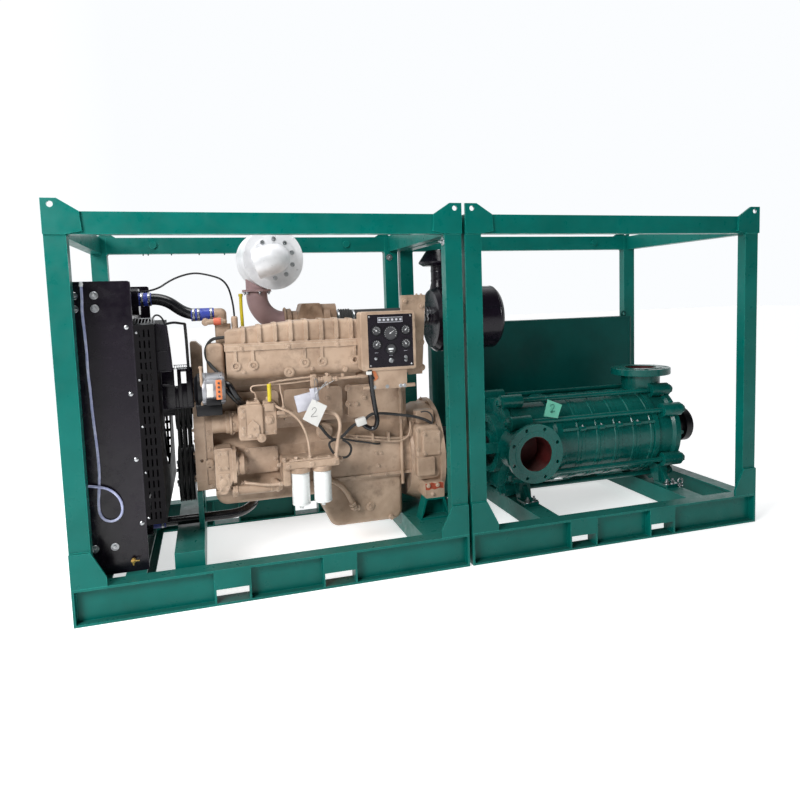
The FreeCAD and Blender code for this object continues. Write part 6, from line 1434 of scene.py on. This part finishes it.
@dataclass
class EngineBlock:
    """Screws, plugs and hoses on the castings of the engine."""

    cover_face: float = -190
    crankcase_face: float = -205
    rib_face: float = -223
    sump_face: float = -185
    housing_face: float = -300
    foot_face: float = -330
    shaft_z: float = 490
    cover_bolts: Pairs = ((-501, 915), (-413, 858), (-501, 828), (-458, 827), (-617, 870))
    crankcase_bolts: Pairs = ((-361, 544), (-331, 541), (-348, 471))
    sump_rim: range = range(-1190, -220, 88)
    round_cover: Point = (-640, -190, 690)
    foot_bolts: Pairs = ((-102, 360), (-48, 360), (-78, 312))
    flywheel_face: float = -11
    flywheel_circle: float = 300
    gear_side_bolts: Pairs = ((237, 470), (252, 660), (252, 745))
    gear_side_x: float = -1240
    gear_face: float = -1310
    patch: Pairs = (
        (-118, 338), (-100, 334), (-84, 342), (-66, 335), (-40, 343), (-14, 337), (-13, 370), (-34, 376),
        (-60, 369), (-82, 377), (-104, 371), (-119, 374))
    drive_face: float = -334
    drive_axis: Pair = (-278, 576)
    rail_axis: Pair = (-300, 443)
    oil_hose: Run = Run(14, (
        (-640, -200, 428), (-612, -222, 420), (-566, -240, 390), (-535, -246, 340), (-508, -236, 280),
        (-494, -214, 256)))
    rocker_pitch: range = range(-1150, -240, 165)
    rocker_top: float = 1110
    port_middles: range = range(-1060, -280, 145)
    port_face: float = 182
    dipstick_sleeve: Run = Run(9, (
        (-1034, -40, 1236), (-1034, -30, 1300), (-1036, -10, 1380), (-1034, 0, 1436)))
    dipstick: Pair = (-218, -226)

    def screws(self) -> None:
        """Add the screws of the block, the front covers and the flywheel housing."""
        block = Form().bolts([(x, self.cover_face, z) for x, z in self.cover_bolts], Way.FRONT, 17)
        block.bolts([(x, self.crankcase_face, z) for x, z in self.crankcase_bolts], Way.FRONT, 12)
        block.bolts([(x, self.rib_face, z) for x in (-1052, -910) for z in (520, 575, 626)], Way.FRONT, 12)
        block.bolts([(x, -218, 422) for x in self.sump_rim], Way.FRONT, 10, washer=0.9)
        block.piece("block_screws", ENGINE_BEIGE)
        cover = Form()
        x, y, z = self.round_cover
        cover.turned(self.round_cover, Way.FRONT, [(0, 46), (10, 46), (16, 40), (18, 20), (18, 6)], 40)
        cover.bolts(around((x, y - 16, z), Way.FRONT, 32, 4, 20), Way.FRONT, 9)
        cover.piece("side_cover_round", ENGINE_BEIGE)
        housing = Form()
        housing.bolts([(x, self.housing_face, z) for x in (-106, -24) for z in (534, 642)], Way.FRONT, 13,
                      washer=1)
        housing.bolts([(x, self.foot_face, z) for x, z in self.foot_bolts], Way.FRONT, 15, washer=0.8)
        housing.bolts([(-140, -286, z) for z in (420, 560, 664)], Way.FRONT, 12)
        ring = around((self.flywheel_face, 0, self.shaft_z), Way.LEFT, self.flywheel_circle, 16, 11)
        housing.bolts([place for place in ring if place[1] > -250], Way.LEFT, 14)
        housing.piece("housing_screws", ENGINE_BEIGE)
        front = Form()
        for way, row in ((Way.FRONT, -1), (Way.REAR, 1)):
            front.bolts([(self.gear_side_x, row * y, z) for y, z in self.gear_side_bolts], way, 13)
        ring = around((self.gear_face, 0, self.shaft_z), Way.LEFT, 190, 10, 18)
        front.bolts([place for place in ring if place[2] > 400], Way.LEFT, 14)
        front.bolts([(self.gear_face, y, z) for y in (-235, 235) for z in (520, 640, 760)], Way.LEFT, 13)
        front.piece("gear_case_screws", ENGINE_BEIGE)
        patch = Form().prism([(x, self.foot_face, z) for x, z in self.patch], (0, -0.5, 0))
        patch.piece("bared_patch", RED_OXIDE)

    def accessories(self) -> None:
        """Add the cover, screws and pipe stubs of the accessory drive and the ends of the water rail."""
        body = Form()
        for low, high in ((560, 660), (456, 545)):
            body.block((-1204, self.drive_face, low), (-1150, self.drive_face + 8, high), 4)
        body.turned((-1115, *self.drive_axis), Way.RIGHT, [(0, 60), (8, 60), (10, 54), (14, 54)], 40)
        body.turned((-1070, *self.drive_axis), Way.RIGHT,
                    [(0, 38), (5, 38), (8, 34), (8, 20), (14, 18), (16, 12)], 32)
        body.bolts(around((-1107, *self.drive_axis), Way.RIGHT, 56, 6, 10), Way.RIGHT, 10)
        body.bolts([(x, self.drive_face, z) for x in (-1194, -1160) for z in (468, 532, 574, 648)],
                   Way.FRONT, 9)
        body.bolts([(-1118, -312, z) for z in (456, 655)], Way.RIGHT, 12)
        body.turned((-1177, self.drive_face + 6, 500), Way.FRONT, [(0, 20), (7, 20), (9, 17), (12, 9)], 28)
        body.turned((-1242, -262, 590), Way.FRONT, [(0, 20), (4, 20), (6, 17), (6, 8), (3, 7)], 28)
        body.piece("accessory_cover", ENGINE_BEIGE)
        rail = Form().union((-1142, *self.rail_axis), Way.RIGHT, 56, 34)
        rail.clamp((-950, *self.rail_axis), Way.RIGHT, 24.5, 12)
        rail.turned((-922, *self.rail_axis), Way.RIGHT,
                    [(0, 24), (4, 28), (14, 28), (16, 24), (30, 20), (34, 12)], 32)
        rail.piece("water_rail_ends", ENGINE_BEIGE)

    def sump(self) -> None:
        """Add the oil hose, the plugs and the drain of the sump."""
        Form().runs([self.oil_hose]).piece("oil_hose", ENGINE_BEIGE)
        fittings = Form()
        face = self.sump_face
        fittings.union((-516, -240, 292), Vector((0.45, 0.45, -1)), 36, 48)
        fittings.union((-500, -214, 252), Way.RIGHT, 30, 34)
        fittings.turned((-484, face + 2, 246), Way.FRONT, [(0, 24), (6, 24), (8, 16), (34, 16)], 28)
        fittings.turned((-399, face + 1, 240), Way.FRONT, [(0, 25), (5, 25), (8, 20), (8, 9), (4, 8)], 32)
        fittings.bolt((-399, face - 3, 240), Way.FRONT, 15)
        fittings.turned((-284, face + 8, 166), Way.FRONT, [(0, 15), (16, 15), (18, 12)], 28)
        fittings.bolt((-284, face - 8, 166), Way.FRONT, 24, washer=0.6)
        fittings.piece("sump_fittings", ENGINE_BEIGE)

    def top(self) -> None:
        """Add the covers' screws, the manifold's flanges, the yellow sleeve and the dipstick's fittings."""
        screws = Form()
        screws.bolts([(x, y, self.rocker_top) for x in self.rocker_pitch for y in (-138, 158)], Way.UP, 13)
        screws.piece("rocker_cover_screws", ENGINE_BEIGE)
        flanges = Form()
        for middle in self.port_middles:
            flanges.block((middle - 42, 168, 1004), (middle + 42, self.port_face, 1086), 6)
            flanges.bolts([(middle - 32, self.port_face, 1074), (middle + 32, self.port_face, 1016)],
                          Way.REAR, 13, stud=5)
        flanges.piece("manifold_flanges", ENGINE_BEIGE)
        sleeve = Form().runs([self.dipstick_sleeve])
        sleeve.turned((-1034, 0, 1430), Way.UP, [(0, 12), (14, 12), (16, 8)], 16)
        sleeve.piece("dipstick_sleeve", YELLOW_PLASTIC)
        stick = Form()
        x, y = self.dipstick
        stick.union((x, y, 700), Way.UP, 20, 30)
        stick.turned((x, y, 900), Way.UP, [(0, 8), (6, 9), (14, 9), (16, 6), (30, 5)], 20)
        stick.block((x - 4, y + 4, 716), (x + 4, y + 26, 728), 1)
        stick.piece("dipstick_fittings", ENGINE_BEIGE)

    def build(self) -> None:
        """Dress the castings."""
        self.screws()
        self.accessories()
        self.sump()
        self.top()


class Dial(Enum):
    """Kinds of round instrument on the panel, each with the radius of its bezel."""

    TACHOMETER = 40
    SMALL = 27
    HOURS = 30


@dataclass
class ControlPanel:
    """Instruments, lamps, switches and screws of the panel."""

    face: float = -394
    dials: tuple[tuple[float, float, Dial, float], ...] = (
        (-382, 1230, Dial.SMALL, -50), (-306, 1216, Dial.TACHOMETER, 55), (-224, 1230, Dial.SMALL, 40),
        (-382, 1158, Dial.SMALL, 35), (-306, 1132, Dial.HOURS, 0), (-224, 1158, Dial.SMALL, -35))
    sweep: float = 240
    lamps_low: Point = (-374, -401, 1271)
    lamps_high: Point = (-240, -394, 1300)
    lamp_count: int = 6
    labels: Pairs = ((-383, 1106), (-306, 1089), (-226, 1110))
    toggles: tuple[tuple[float, float, float], ...] = (
        (-388, 1086, 0.35), (-226, 1088, -0.35), (-226, 1070, 0.25))
    key: Pair = (-306, 1072)
    corner_x: Row = (-416, -195)
    corner_z: Row = (1049, 1303)
    foot_screws: Row = (-400, -330, -256, -236)
    bracket_face: float = -250
    bracket_bolts: Pairs = ((-88, 1348), (-94, 1150), (-94, 1010), (-180, 1378))

    @staticmethod
    def pointing(degrees: float) -> tuple[Vector, Vector]:
        """Directions on a dial's face.

        Args:
            degrees: how far clockwise from upright the first one points.

        Returns:
            The direction outward from the dial's middle and the one across it.
        """
        turn = math.radians(degrees)
        out = Vector((math.sin(turn), 0, math.cos(turn)))
        return out, Vector((out.z, 0, -out.x))

    def instruments(self) -> None:
        """Add the bezels, faces, printed marks and needles."""
        bezels, faces, marks = Form(), Form(), Form()
        front = self.face - 2.6
        for x, z, kind, lean in self.dials:
            radius = kind.value
            at = (x, self.face, z)
            bezels.turned(at, Way.FRONT, [(0, radius), (5, radius), (7, radius - 1.5), (7, radius - 4),
                                          (3.5, radius - 5), (0, radius - 5)], 48, loop=True)
            faces.turned(at, Way.FRONT, [(0, radius - 4.5), (2.4, radius - 4.5)], 40)
            if kind is Dial.HOURS:
                marks.block((x - 13, front - 0.6, z - 4), (x + 13, front, z + 5), 0.3)
                marks.block((x - 7, front - 0.6, z - 14), (x + 7, front, z - 11), 0.2)
                continue
            count = 13 if kind is Dial.TACHOMETER else 9
            for index in range(count):
                out, across = self.pointing(self.sweep * (index / (count - 1) - 0.5))
                near = Vector((x, front, z)) + out * (radius - 11)
                far = Vector((x, front, z)) + out * (radius - 6.5)
                side = across * 0.8
                marks.prism([near - side, near + side, far + side, far - side], (0, -0.5, 0))
            out, across = self.pointing(lean)
            tail = Vector((x, front - 0.8, z)) - out * radius * 0.18
            tip = tail + out * radius * 0.78
            side = across * 1.5
            marks.prism([tail - side, tail + side, tip + side * 0.25, tip - side * 0.25], (0, -0.6, 0))
            marks.turned((x, front, z), Way.FRONT, [(0, 3.4), (1.8, 3.4), (2.4, 2.6)], 20)
        bezels.piece("dial_bezels", CAST_BLACK)
        faces.piece("dial_faces", BLACK_PLASTIC)
        marks.piece("dial_marks", DIAL_WHITE)

    def controls(self) -> None:
        """Add the lamp strip, the printed lines, the switches, the key and the panel's screws."""
        low, high = self.lamps_low, self.lamps_high
        Form().block(low, high, 3).piece("lamp_strip", BLACK_PLASTIC)
        rims = Form()
        for left, right, foot, head in ((low[0], high[0], high[2] - 3, high[2] - 1),
                                        (low[0], high[0], low[2] + 1, low[2] + 3),
                                        (low[0] + 1, low[0] + 3, low[2], high[2]),
                                        (high[0] - 3, high[0] - 1, low[2], high[2])):
            rims.block((left, low[1] - 0.8, foot), (right, low[1] + 0.4, head), 0.3)
        step = (high[0] - low[0]) / self.lamp_count
        for index in range(self.lamp_count):
            rims.turned((low[0] + step * (index + 0.5), low[1], (low[2] + high[2]) / 2), Way.FRONT,
                        [(0, 6), (1.6, 6), (2.2, 5), (2.2, 3.6)], 20)
        for x, z in self.labels:
            rims.block((x - 9, self.face - 0.8, z + 9), (x + 9, self.face, z + 10.4), 0.2)
        rims.piece("panel_print", GREY_PLASTIC)
        switches = Form()
        for x, z, lean in self.toggles:
            switches.turned((x, self.face, z), Way.FRONT, [(0, 9), (3, 9), (4, 7), (8, 6)], 6)
            switches.turned((x, self.face - 6, z), Vector((0, -1, lean)),
                            [(0, 2.4), (16, 3.2), (19, 2.4)], 14)
        x, z = self.key
        switches.turned((x, self.face, z), Way.FRONT, [(0, 13), (4, 13), (6, 11), (8, 9)], 28)
        switches.block((x - 2, self.face - 20, z - 10), (x + 2, self.face - 8, z + 11), 0.8)
        for x in self.corner_x:
            for z in self.corner_z:
                switches.turned((x, self.face, z), Way.FRONT, [(0, 5), (1.4, 5), (2.8, 3.4)], 18)
        switches.bolts([(x, -386, 935) for x in self.foot_screws], Way.FRONT, 9)
        switches.piece("panel_switches", ZINC_STEEL)

    def build(self) -> None:
        """Dress the panel and its bracket."""
        self.instruments()
        self.controls()
        bracket = Form().bolts([(x, self.bracket_face, z) for x, z in self.bracket_bolts], Way.FRONT, 17)
        bracket.bolts([(-112, -248, 1410), (-84, -240, 1410)], Way.UP, 10)
        bracket.piece("panel_bracket_bolts", ENGINE_BEIGE)


@dataclass
class Exhaust:
    """Bolts, clamps and heads of the exhaust run and the intake hose."""

    outlet: Point = (-838, 95, 1638)
    turn_degrees: float = 12
    collar_proud: float = 10
    bolt_circle: float = 109
    bolt_count: int = 10
    rivet_circle: float = 166
    rivet_count: int = 12
    elbow: Point = (-932, 235, 1458)
    hose_axis: Pair = (235, 1280)
    hose_radius: float = 56
    band_x: float = -786
    bellows_x: float = -462
    bellows_pitch: float = 15
    bellows_count: int = 5
    clamp_x: Row = (-474, -382, 60, 82)
    oil_pipe: Run = Run(12, ((-640, 160, 1235), (-640, 152, 1190), (-630, 176, 1140), (-624, 190, 1112)))
    turbine_face: float = 149
    turbine_bolts: Pairs = ((-690, 1255), (-590, 1255), (-640, 1360))

    def outlet_rings(self) -> None:
        """Add the ring of bolts on the outlet's collar and the rivets round its rim."""
        lean = math.radians(self.turn_degrees)
        front = Vector((math.sin(lean), -math.cos(lean), 0))
        side, up = Vector((math.cos(lean), math.sin(lean), 0)), Vector((0, 0, 1))
        form = Form()
        for index in range(self.bolt_count):
            turn = math.tau * index / self.bolt_count
            at = Vector(self.outlet) + front * self.collar_proud
            at += (side * math.sin(turn) + up * math.cos(turn)) * self.bolt_circle
            form.bolt(tuple(at), front, 13, washer=1)
        form.piece("outlet_bolts", ZINC_STEEL)
        rim = Form()
        for index in range(self.rivet_count):
            turn = math.tau * (index + 0.5) / self.rivet_count
            at = Vector(self.outlet) + (side * math.sin(turn) + up * math.cos(turn)) * self.rivet_circle
            rim.turned(at, front, [(0, 4), (2.5, 4), (4, 2.6)], 14)
        rim.piece("outlet_rim_rivets", SILVER_CASTING)

    def build(self) -> None:
        """Dress the exhaust and the intake hose."""
        self.outlet_rings()
        flange = Form().bolts(around(self.elbow, Way.DOWN, 71, 6, 20), Way.DOWN, 15, stud=5)
        flange.piece("elbow_flange_bolts", ZINC_STEEL)
        band = Form()
        band.turned((self.band_x, *self.hose_axis), Way.RIGHT,
                    [(0, 72), (0, 77), (4, 82), (10, 82), (14, 77), (14, 72)], 48, loop=True)
        band.piece("turbine_band", SCORCHED_IRON)
        rings = Form()
        inner, outer = self.hose_radius, self.hose_radius + 6
        for index in range(self.bellows_count):
            rings.turned((self.bellows_x + index * self.bellows_pitch, *self.hose_axis), Way.RIGHT,
                         [(0, inner), (2, outer), (7, outer), (9, inner)], 48, loop=True)
        rings.piece("hose_bellows", BLACK_RUBBER)
        clamps = Form()
        for x in self.clamp_x:
            clamps.clamp((x, *self.hose_axis), Way.RIGHT, self.hose_radius + 0.5)
        clamps.piece("intake_hose_clamps", ZINC_STEEL)
        oil = Form().runs([self.oil_pipe])
        oil.bolts([(x, self.turbine_face, z) for x, z in self.turbine_bolts], Way.FRONT, 13)
        oil.piece("turbine_oil_pipes", SCORCHED_IRON)


@dataclass
class AirFilter:
    """Beads and latches of the air filter, and the trim of its rain cap."""

    latch_x: float = 199
    latch_turns: Row = (200, 250, 290, 340, 70, 110)
    radius: float = 194
    beads: Pairs = ((131, 200), (163, 200), (236, 194), (495, 194))
    axis: Pair = (170, 1262)
    neck: Pair = (169, 170)
    neck_radius: float = 52.4
    neck_clamps: Pair = (1490, 1548)
    cap_foot: float = 1602
    cap_top: float = 1676

    def build(self) -> None:
        """Dress the filter."""
        rims = Form()
        for x, radius in self.beads:
            rims.turned((x, *self.axis), Way.RIGHT,
                        [(0, radius - 3), (0, radius), (2, radius + 1.5), (6, radius + 1.5), (8, radius),
                         (8, radius - 3)], 72, loop=True)
        rims.piece("air_filter_beads", SHEET_BLACK)
        latches = Form()
        for turn in self.latch_turns:
            lean = math.radians(turn)
            out = Vector((0, -math.cos(lean), math.sin(lean)))
            at = Vector((self.latch_x, *self.axis)) + out * (self.radius - 0.5)
            latches.turned(at, out, [(0, 7), (4, 7), (5, 4)], 12)
        latches.piece("air_filter_latches", ZINC_STEEL)
        cap = Form().ring((*self.neck, self.cap_foot), Way.UP, 122, 126, 5, 64)
        for z in self.neck_clamps:
            cap.clamp((*self.neck, z), Way.UP, self.neck_radius)
        cap.piece("rain_cap_trim", SHEET_BLACK)
        Form().bolt((*self.neck, self.cap_top), Way.UP, 14).piece("rain_cap_nut", ZINC_STEEL)


@dataclass
class Pump:
    """Linings, bolts and small fittings of the multistage pump."""

    axis: Pair = (0, 490)
    suction: Point = (525, -395, 490)
    suction_bore: float = 100
    suction_depth: float = 181
    discharge: Point = (1498, 0, 893)
    discharge_bore: float = 98
    discharge_depth: float = 125
    ledge_x: Row = (899, 1027, 1155, 1283)
    ledge_y: float = -270
    ledge_z: float = 589
    foot_bolts: Pairs = ((503, 322), (548, 313), (1460, 322), (1504, 318))
    foot_z: float = 192
    ear_turns: Row = (150, 210, 330, 390)
    ear_x: float = 600
    ear_radius: float = 283
    gland_x: float = 430
    bearing_x: float = 1836
    carrier_x: float = 1628
    valve: Point = (1600, -205, 486)
    eye: Point = (1552, -331, 201)
    eye_radius: float = 17
    tag_outline: tuple[Point, ...] = ((663, -279, 778), (753, -285, 740), (721, -291, 663), (633, -286, 681))
    tag_number: Run = Run(1.6, (
        (676, -288, 736), (684, -289, 750), (700, -290, 744), (697, -291, 726), (678, -290, 706),
        (674, -291, 700), (690, -292, 702), (704, -293, 708)))
    tag_wire: Run = Run(1.3, (
        (664, -281, 777), (656, -270, 792), (650, -240, 800), (656, -225, 786), (668, -250, 770)))

    @staticmethod
    def lining(form: Form, mouth: Point, way: Way, bore: float, depth: float) -> None:
        """Add the lining of one bore with its closed end.

        Args:
            form: the form that gets the lining.
            mouth: middle of the bore's mouth.
            way: where the bore runs.
            bore: its radius.
            depth: its depth.
        """
        radius = bore - 0.4
        form.turned(mouth, way, [(0, radius), (0, radius - 2), (depth - 3, radius - 2), (depth - 1, 1),
                                 (depth, 1), (depth, radius)], 64, loop=True)

    def flanges(self) -> None:
        """Add the red lining of both bores and the raised faces of their flanges."""
        lining = Form()
        x, y, z = self.suction
        self.lining(lining, (x, y + 1, z), Way.REAR, self.suction_bore, self.suction_depth)
        x, y, z = self.discharge
        self.lining(lining, (x, y, z - 1), Way.DOWN, self.discharge_bore, self.discharge_depth)
        lining.piece("bore_linings", RED_LINING)
        faces = Form().ring(self.suction, Way.FRONT, 101, 128, 3, 72)
        faces.ring(self.suction, Way.FRONT, 167, 169.5, 0.8, 72)
        faces.ring(self.discharge, Way.UP, 99, 132, 3, 72)
        faces.piece("flange_raised_faces", PUMP_GREEN)

    def fasteners(self) -> None:
        """Add the ledge bolts, the foot bolts, the ear nuts and the screws of the end bearing."""
        zinc = Form()
        zinc.bolts([(x, self.ledge_y, self.ledge_z) for x in self.ledge_x], Way.UP, 14, washer=0.9, stud=4)
        for row in (-1, 1):
            zinc.bolts([(x, row * y, self.foot_z) for x, y in self.foot_bolts], Way.UP, 22, stud=12)
        zinc.piece("pump_foot_bolts", ZINC_STEEL)
        green = Form()
        for turn in self.ear_turns:
            lean = math.radians(turn)
            out = Vector((0, math.cos(lean), math.sin(lean))) * self.ear_radius
            green.turned(Vector((self.ear_x, *self.axis)) + out * 0.96, out,
                         [(0, 13), (2, 13), (3, 10), (9, 10), (10, 7)], 6)
        green.turned((1534, -252, 690), Way.FRONT, [(0, 14), (6, 14), (8, 10)], 6)
        green.bolts(around((self.gland_x, *self.axis), Way.LEFT, 64, 4, 45), Way.LEFT, 14, stud=8)
        green.piece("pump_plugs", PUMP_GREEN)
        dark = Form()
        end = (self.bearing_x, *self.axis)
        dark.bolts(around(end, Way.RIGHT, 92, 6, 30), Way.RIGHT, 10, washer=0.9)
        dark.turned(end, Way.RIGHT, [(0, 60), (3, 58), (6, 40), (7, 12)], 40)
        dark.bolts(around((self.carrier_x, *self.axis), Way.RIGHT, 140, 8, 22.5), Way.RIGHT, 16, stud=4)
        dark.turned((1746, 0, 576), Way.UP, [(-3, 8), (3, 8), (4, 5), (12, 5), (14, 6.5), (18, 6)], 16)
        dark.piece("end_bearing_screws", CAST_BLACK)

    def fittings(self) -> None:
        """Add the drain valve, the eye bolt on the base and the tag with its number and wire."""
        valve = Form()
        x, y, z = self.valve
        valve.turned(self.valve, Way.RIGHT, [(0, 16), (14, 16), (15, 11), (24, 11)], 20)
        valve.turned((x + 22, y, z), Way.RIGHT, [(0, 17), (2, 19), (14, 19), (16, 17)], 6)
        valve.turned((x + 34, y, z + 4), Way.FRONT,
                     [(-8, 12), (14, 12), (16, 9), (26, 9), (28, 12), (38, 12)], 20)
        valve.piece("drain_valve", PUMP_GREEN)
        eye = Form()
        x, y, z = self.eye
        eye.turned((x, y, z - 31), Way.UP, [(0, 16), (5, 16), (6, 9), (16, 9)], 20)
        ring = [Vector((x + self.eye_radius * math.cos(turn), y, z + self.eye_radius * math.sin(turn)))
                for turn in (math.tau * index / 24 for index in range(25))]
        for near, far in zip(ring, ring[1:]):
            eye.turned(near, far - near, [(-0.6, 5.5), ((far - near).length + 0.6, 5.5)], 12)
        eye.piece("base_eye_bolt", ZINC_STEEL)
        Form().prism(self.tag_outline, (0, -1.6, 0)).piece("pump_tag", GREEN_CARD)
        Form().runs([self.tag_number]).piece("pump_tag_number", PUMP_GREEN)
        Form().runs([self.tag_wire]).piece("pump_tag_wire", PUMP_GREEN)

    def build(self) -> None:
        """Dress the pump."""
        self.flanges()
        self.fasteners()
        self.fittings()


@dataclass
class Drive:
    """Fasteners that turn with the crankshaft and with the fan."""

    shaft: Pair = (0, 490)
    fan: Pair = (0, 850)
    pin_circle: float = 96
    pin_count: int = 8
    near_flange: float = 32
    web: float = 76
    far_flange: float = 134
    pulley_x: float = -1402
    hub_x: float = -1533

    def pins(self, x: float, way: Way) -> list[Point]:
        """Places of the coupling's pins at one distance along the shaft."""
        return around((x, *self.shaft), way, self.pin_circle, self.pin_count, 10)

    def build(self) -> None:
        """Add the coupling's pins and bushes, the screws of the crank pulley and those of the fan."""
        pins = Form().bolts(self.pins(self.near_flange, Way.LEFT), Way.LEFT, 14, washer=0.8)
        pins.bolts(self.pins(self.far_flange, Way.RIGHT), Way.RIGHT, 14, washer=0.8, stud=3)
        pins.piece("coupling_pins", ZINC_STEEL, "crank")
        bushes = Form()
        for place in self.pins(self.web, Way.RIGHT):
            bushes.turned(place, Way.RIGHT, [(0, 15), (14, 15)], 20)
        bushes.piece("coupling_bushes", BLACK_RUBBER, "crank")
        pulley = Form()
        middle = (self.pulley_x, *self.shaft)
        pulley.bolts(around(middle, Way.LEFT, 62, 6, 0), Way.LEFT, 17)
        pulley.turned(middle, Way.LEFT, [(0, 34), (5, 34), (7, 30), (7, 12), (4, 10)], 36)
        pulley.piece("crank_pulley_screws", ZINC_STEEL, "crank")
        fan = Form()
        middle = (self.hub_x, *self.fan)
        fan.bolts(around(middle, Way.LEFT, 60, 6, 0), Way.LEFT, 15)
        fan.turned(middle, Way.LEFT, [(0, 30), (6, 30), (8, 26)], 32)
        fan.piece("fan_screws", ZINC_STEEL, "fan_drive")


@dataclass
class Tank:
    """Weld seams of the fuel tank."""

    left: float = 200
    right: float = 1745
    front: float = 440
    back: float = 560
    low: float = 172
    high: float = 1213
    inset: float = 5
    corner: float = 30
    seam_radius: float = 2.2
    seam_pitch: float = 7

    def build(self) -> None:
        """Run the seams round the front and the back of the tank, short of its rounded corners."""
        seams = Form()
        left, right = self.left + self.corner, self.right - self.corner
        low, high = self.low + self.inset, self.high - self.inset
        for y in (self.front - 0.6, self.back + 0.6):
            for start, end in (((left, low), (right, low)), ((left, high), (right, high)),
                               ((left, low), (left, high)), ((right, low), (right, high))):
                seams.bead((start[0], y, start[1]), (end[0], y, end[1]), self.seam_radius, self.seam_pitch)
        seams.piece("tank_seams", SHADED_TANK_GREEN)


@dataclass
class Studio:
    """Pale floor, soft lights and the camera at the photograph's angle; places here are in metres."""

    camera_place: Point = (-1.205, -3.783, 1.392)
    camera_turn: Point = (0.0954, -0.2978, -0.0590)
    focal_px: float = 671.68
    centre_px: Pair = (417.886, 359.610)
    image_px: float = 800.0
    sensor_mm: float = 36.0
    floor_half: float = 40.0

    def add_camera(self) -> None:
        """Add the camera with the solved place, turn, lens and shift."""
        data = bpy.data.cameras.new("photo_camera")
        data.sensor_width = self.sensor_mm
        data.lens = self.focal_px / self.image_px * self.sensor_mm
        half = self.image_px / 2
        data.shift_x = (half - self.centre_px[0]) / self.image_px
        data.shift_y = (self.centre_px[1] - half) / self.image_px
        data.clip_end = 200.0
        camera = bpy.data.objects.new("photo_camera", data)
        about_x, about_y, about_z = (Matrix.Rotation(turn, 3, axis)
                                     for turn, axis in zip(self.camera_turn, "XYZ"))
        level = Matrix(((1, 0, 0), (0, 0, -1), (0, 1, 0)))
        rows = about_z @ about_y @ about_x @ level
        right, down, forward = rows[0], rows[1], rows[2]
        turned = Matrix((right, -down, -forward)).transposed()
        camera.matrix_world = Matrix.Translation(self.camera_place) @ turned.to_4x4()
        bpy.context.scene.collection.objects.link(camera)
        bpy.context.scene.camera = camera

    def add_floor(self) -> None:
        """Add the plain pale floor, lit a little from within as a light table is."""
        mesh = bpy.data.meshes.new("floor")
        half = self.floor_half
        mesh.from_pydata([(-half, -half, 0), (half, -half, 0), (half, half, 0), (-half, half, 0)], [],
                         [(0, 1, 2, 3)])
        floor = bpy.data.objects.new("floor", mesh)
        material = bpy.data.materials.new("floor_paper")
        material.use_nodes = True
        shader = material.node_tree.nodes["Principled BSDF"]
        shader.inputs["Base Color"].default_value = linear("#e6e6e6")
        shader.inputs["Roughness"].default_value = 0.8
        shader.inputs["Emission Color"].default_value = linear("#ffffff")
        shader.inputs["Emission Strength"].default_value = 0.6
        mesh.materials.append(material)
        bpy.context.scene.collection.objects.link(floor)

    def add_air(self) -> None:
        """Light the air: bright behind the set, dimmer to the left, dim in front of it."""
        world = bpy.data.worlds.new("studio_air")
        world.use_nodes = True
        tree = world.node_tree
        parts = add_node(tree, "ShaderNodeSeparateXYZ", {0: add_node(tree, "ShaderNodeTexCoord").outputs[0]})
        behind = Nodes(tree).between(parts.outputs["Y"], 0.05, 0.45, 0.05, 1.0)
        left = Nodes(tree).between(parts.outputs["X"], -0.1, -0.95, 0.0, 0.5)
        total = add_node(tree, "ShaderNodeMath", {0: behind, 1: left}, operation="ADD").outputs[0]
        background = tree.nodes["Background"]
        background.inputs["Color"].default_value = linear("#fbfdff")
        tree.links.new(total, background.inputs["Strength"])
        bpy.context.scene.world = world

    def add_light(self, name: str, place: Point, target: Point, size: float, power: float) -> None:
        """Add one soft round light.

        Args:
            name: its name.
            place: where it stands.
            target: the point that it looks at.
            size: its diameter.
            power: its power in watts.
        """
        data = bpy.data.lights.new(name, "AREA")
        data.shape = "DISK"
        data.size = size
        data.energy = power
        light = bpy.data.objects.new(name, data)
        aim = Vector(target) - Vector(place)
        light.matrix_world = Matrix.Translation(place) @ aim.to_track_quat("-Z", "Y").to_matrix().to_4x4()
        bpy.context.scene.collection.objects.link(light)

    def build(self) -> None:
        """Add everything that isn't part of the object."""
        self.add_camera()
        self.add_floor()
        self.add_air()
        self.add_light("key", (-3.9, -3.4, 3.1), (-1.1, -0.2, 0.9), 2.0, 250.0)
        self.add_light("top", (-0.9, -0.9, 4.6), (-0.8, 0.0, 0.5), 2.2, 80.0)
        bpy.context.scene.view_settings.view_transform = "Standard"
        LOG.info("studio is up")


def dress_nodes(frame: dict) -> None:
    """Give every carried-over node its finish.
    """
    for finish, names in NODE_FINISHES.items():
        for name in names:
            node = frame["nodes"][name]
            node.data.materials.clear()
            node.data.materials.append(finish.material())
            LOG.info("%s dressed in %s", name, finish.name)


def main() -> None:
    """Build the scene round the frame."""
    logging.basicConfig(level=logging.INFO, format="%(name)s %(message)s")
    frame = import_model()
    Studio().build()
    Cords().build()
    dress_nodes(frame)
    for part in (LiftingFrames(), Radiator(), CoolingPipes(), IntakeSide(), FuelSystem(), Electrics(),
                 EngineBlock(), ControlPanel(), Exhaust(), AirFilter(), Pump(), Drive(), Tank()):
        part.build()


if __name__ == "__main__":
    main()
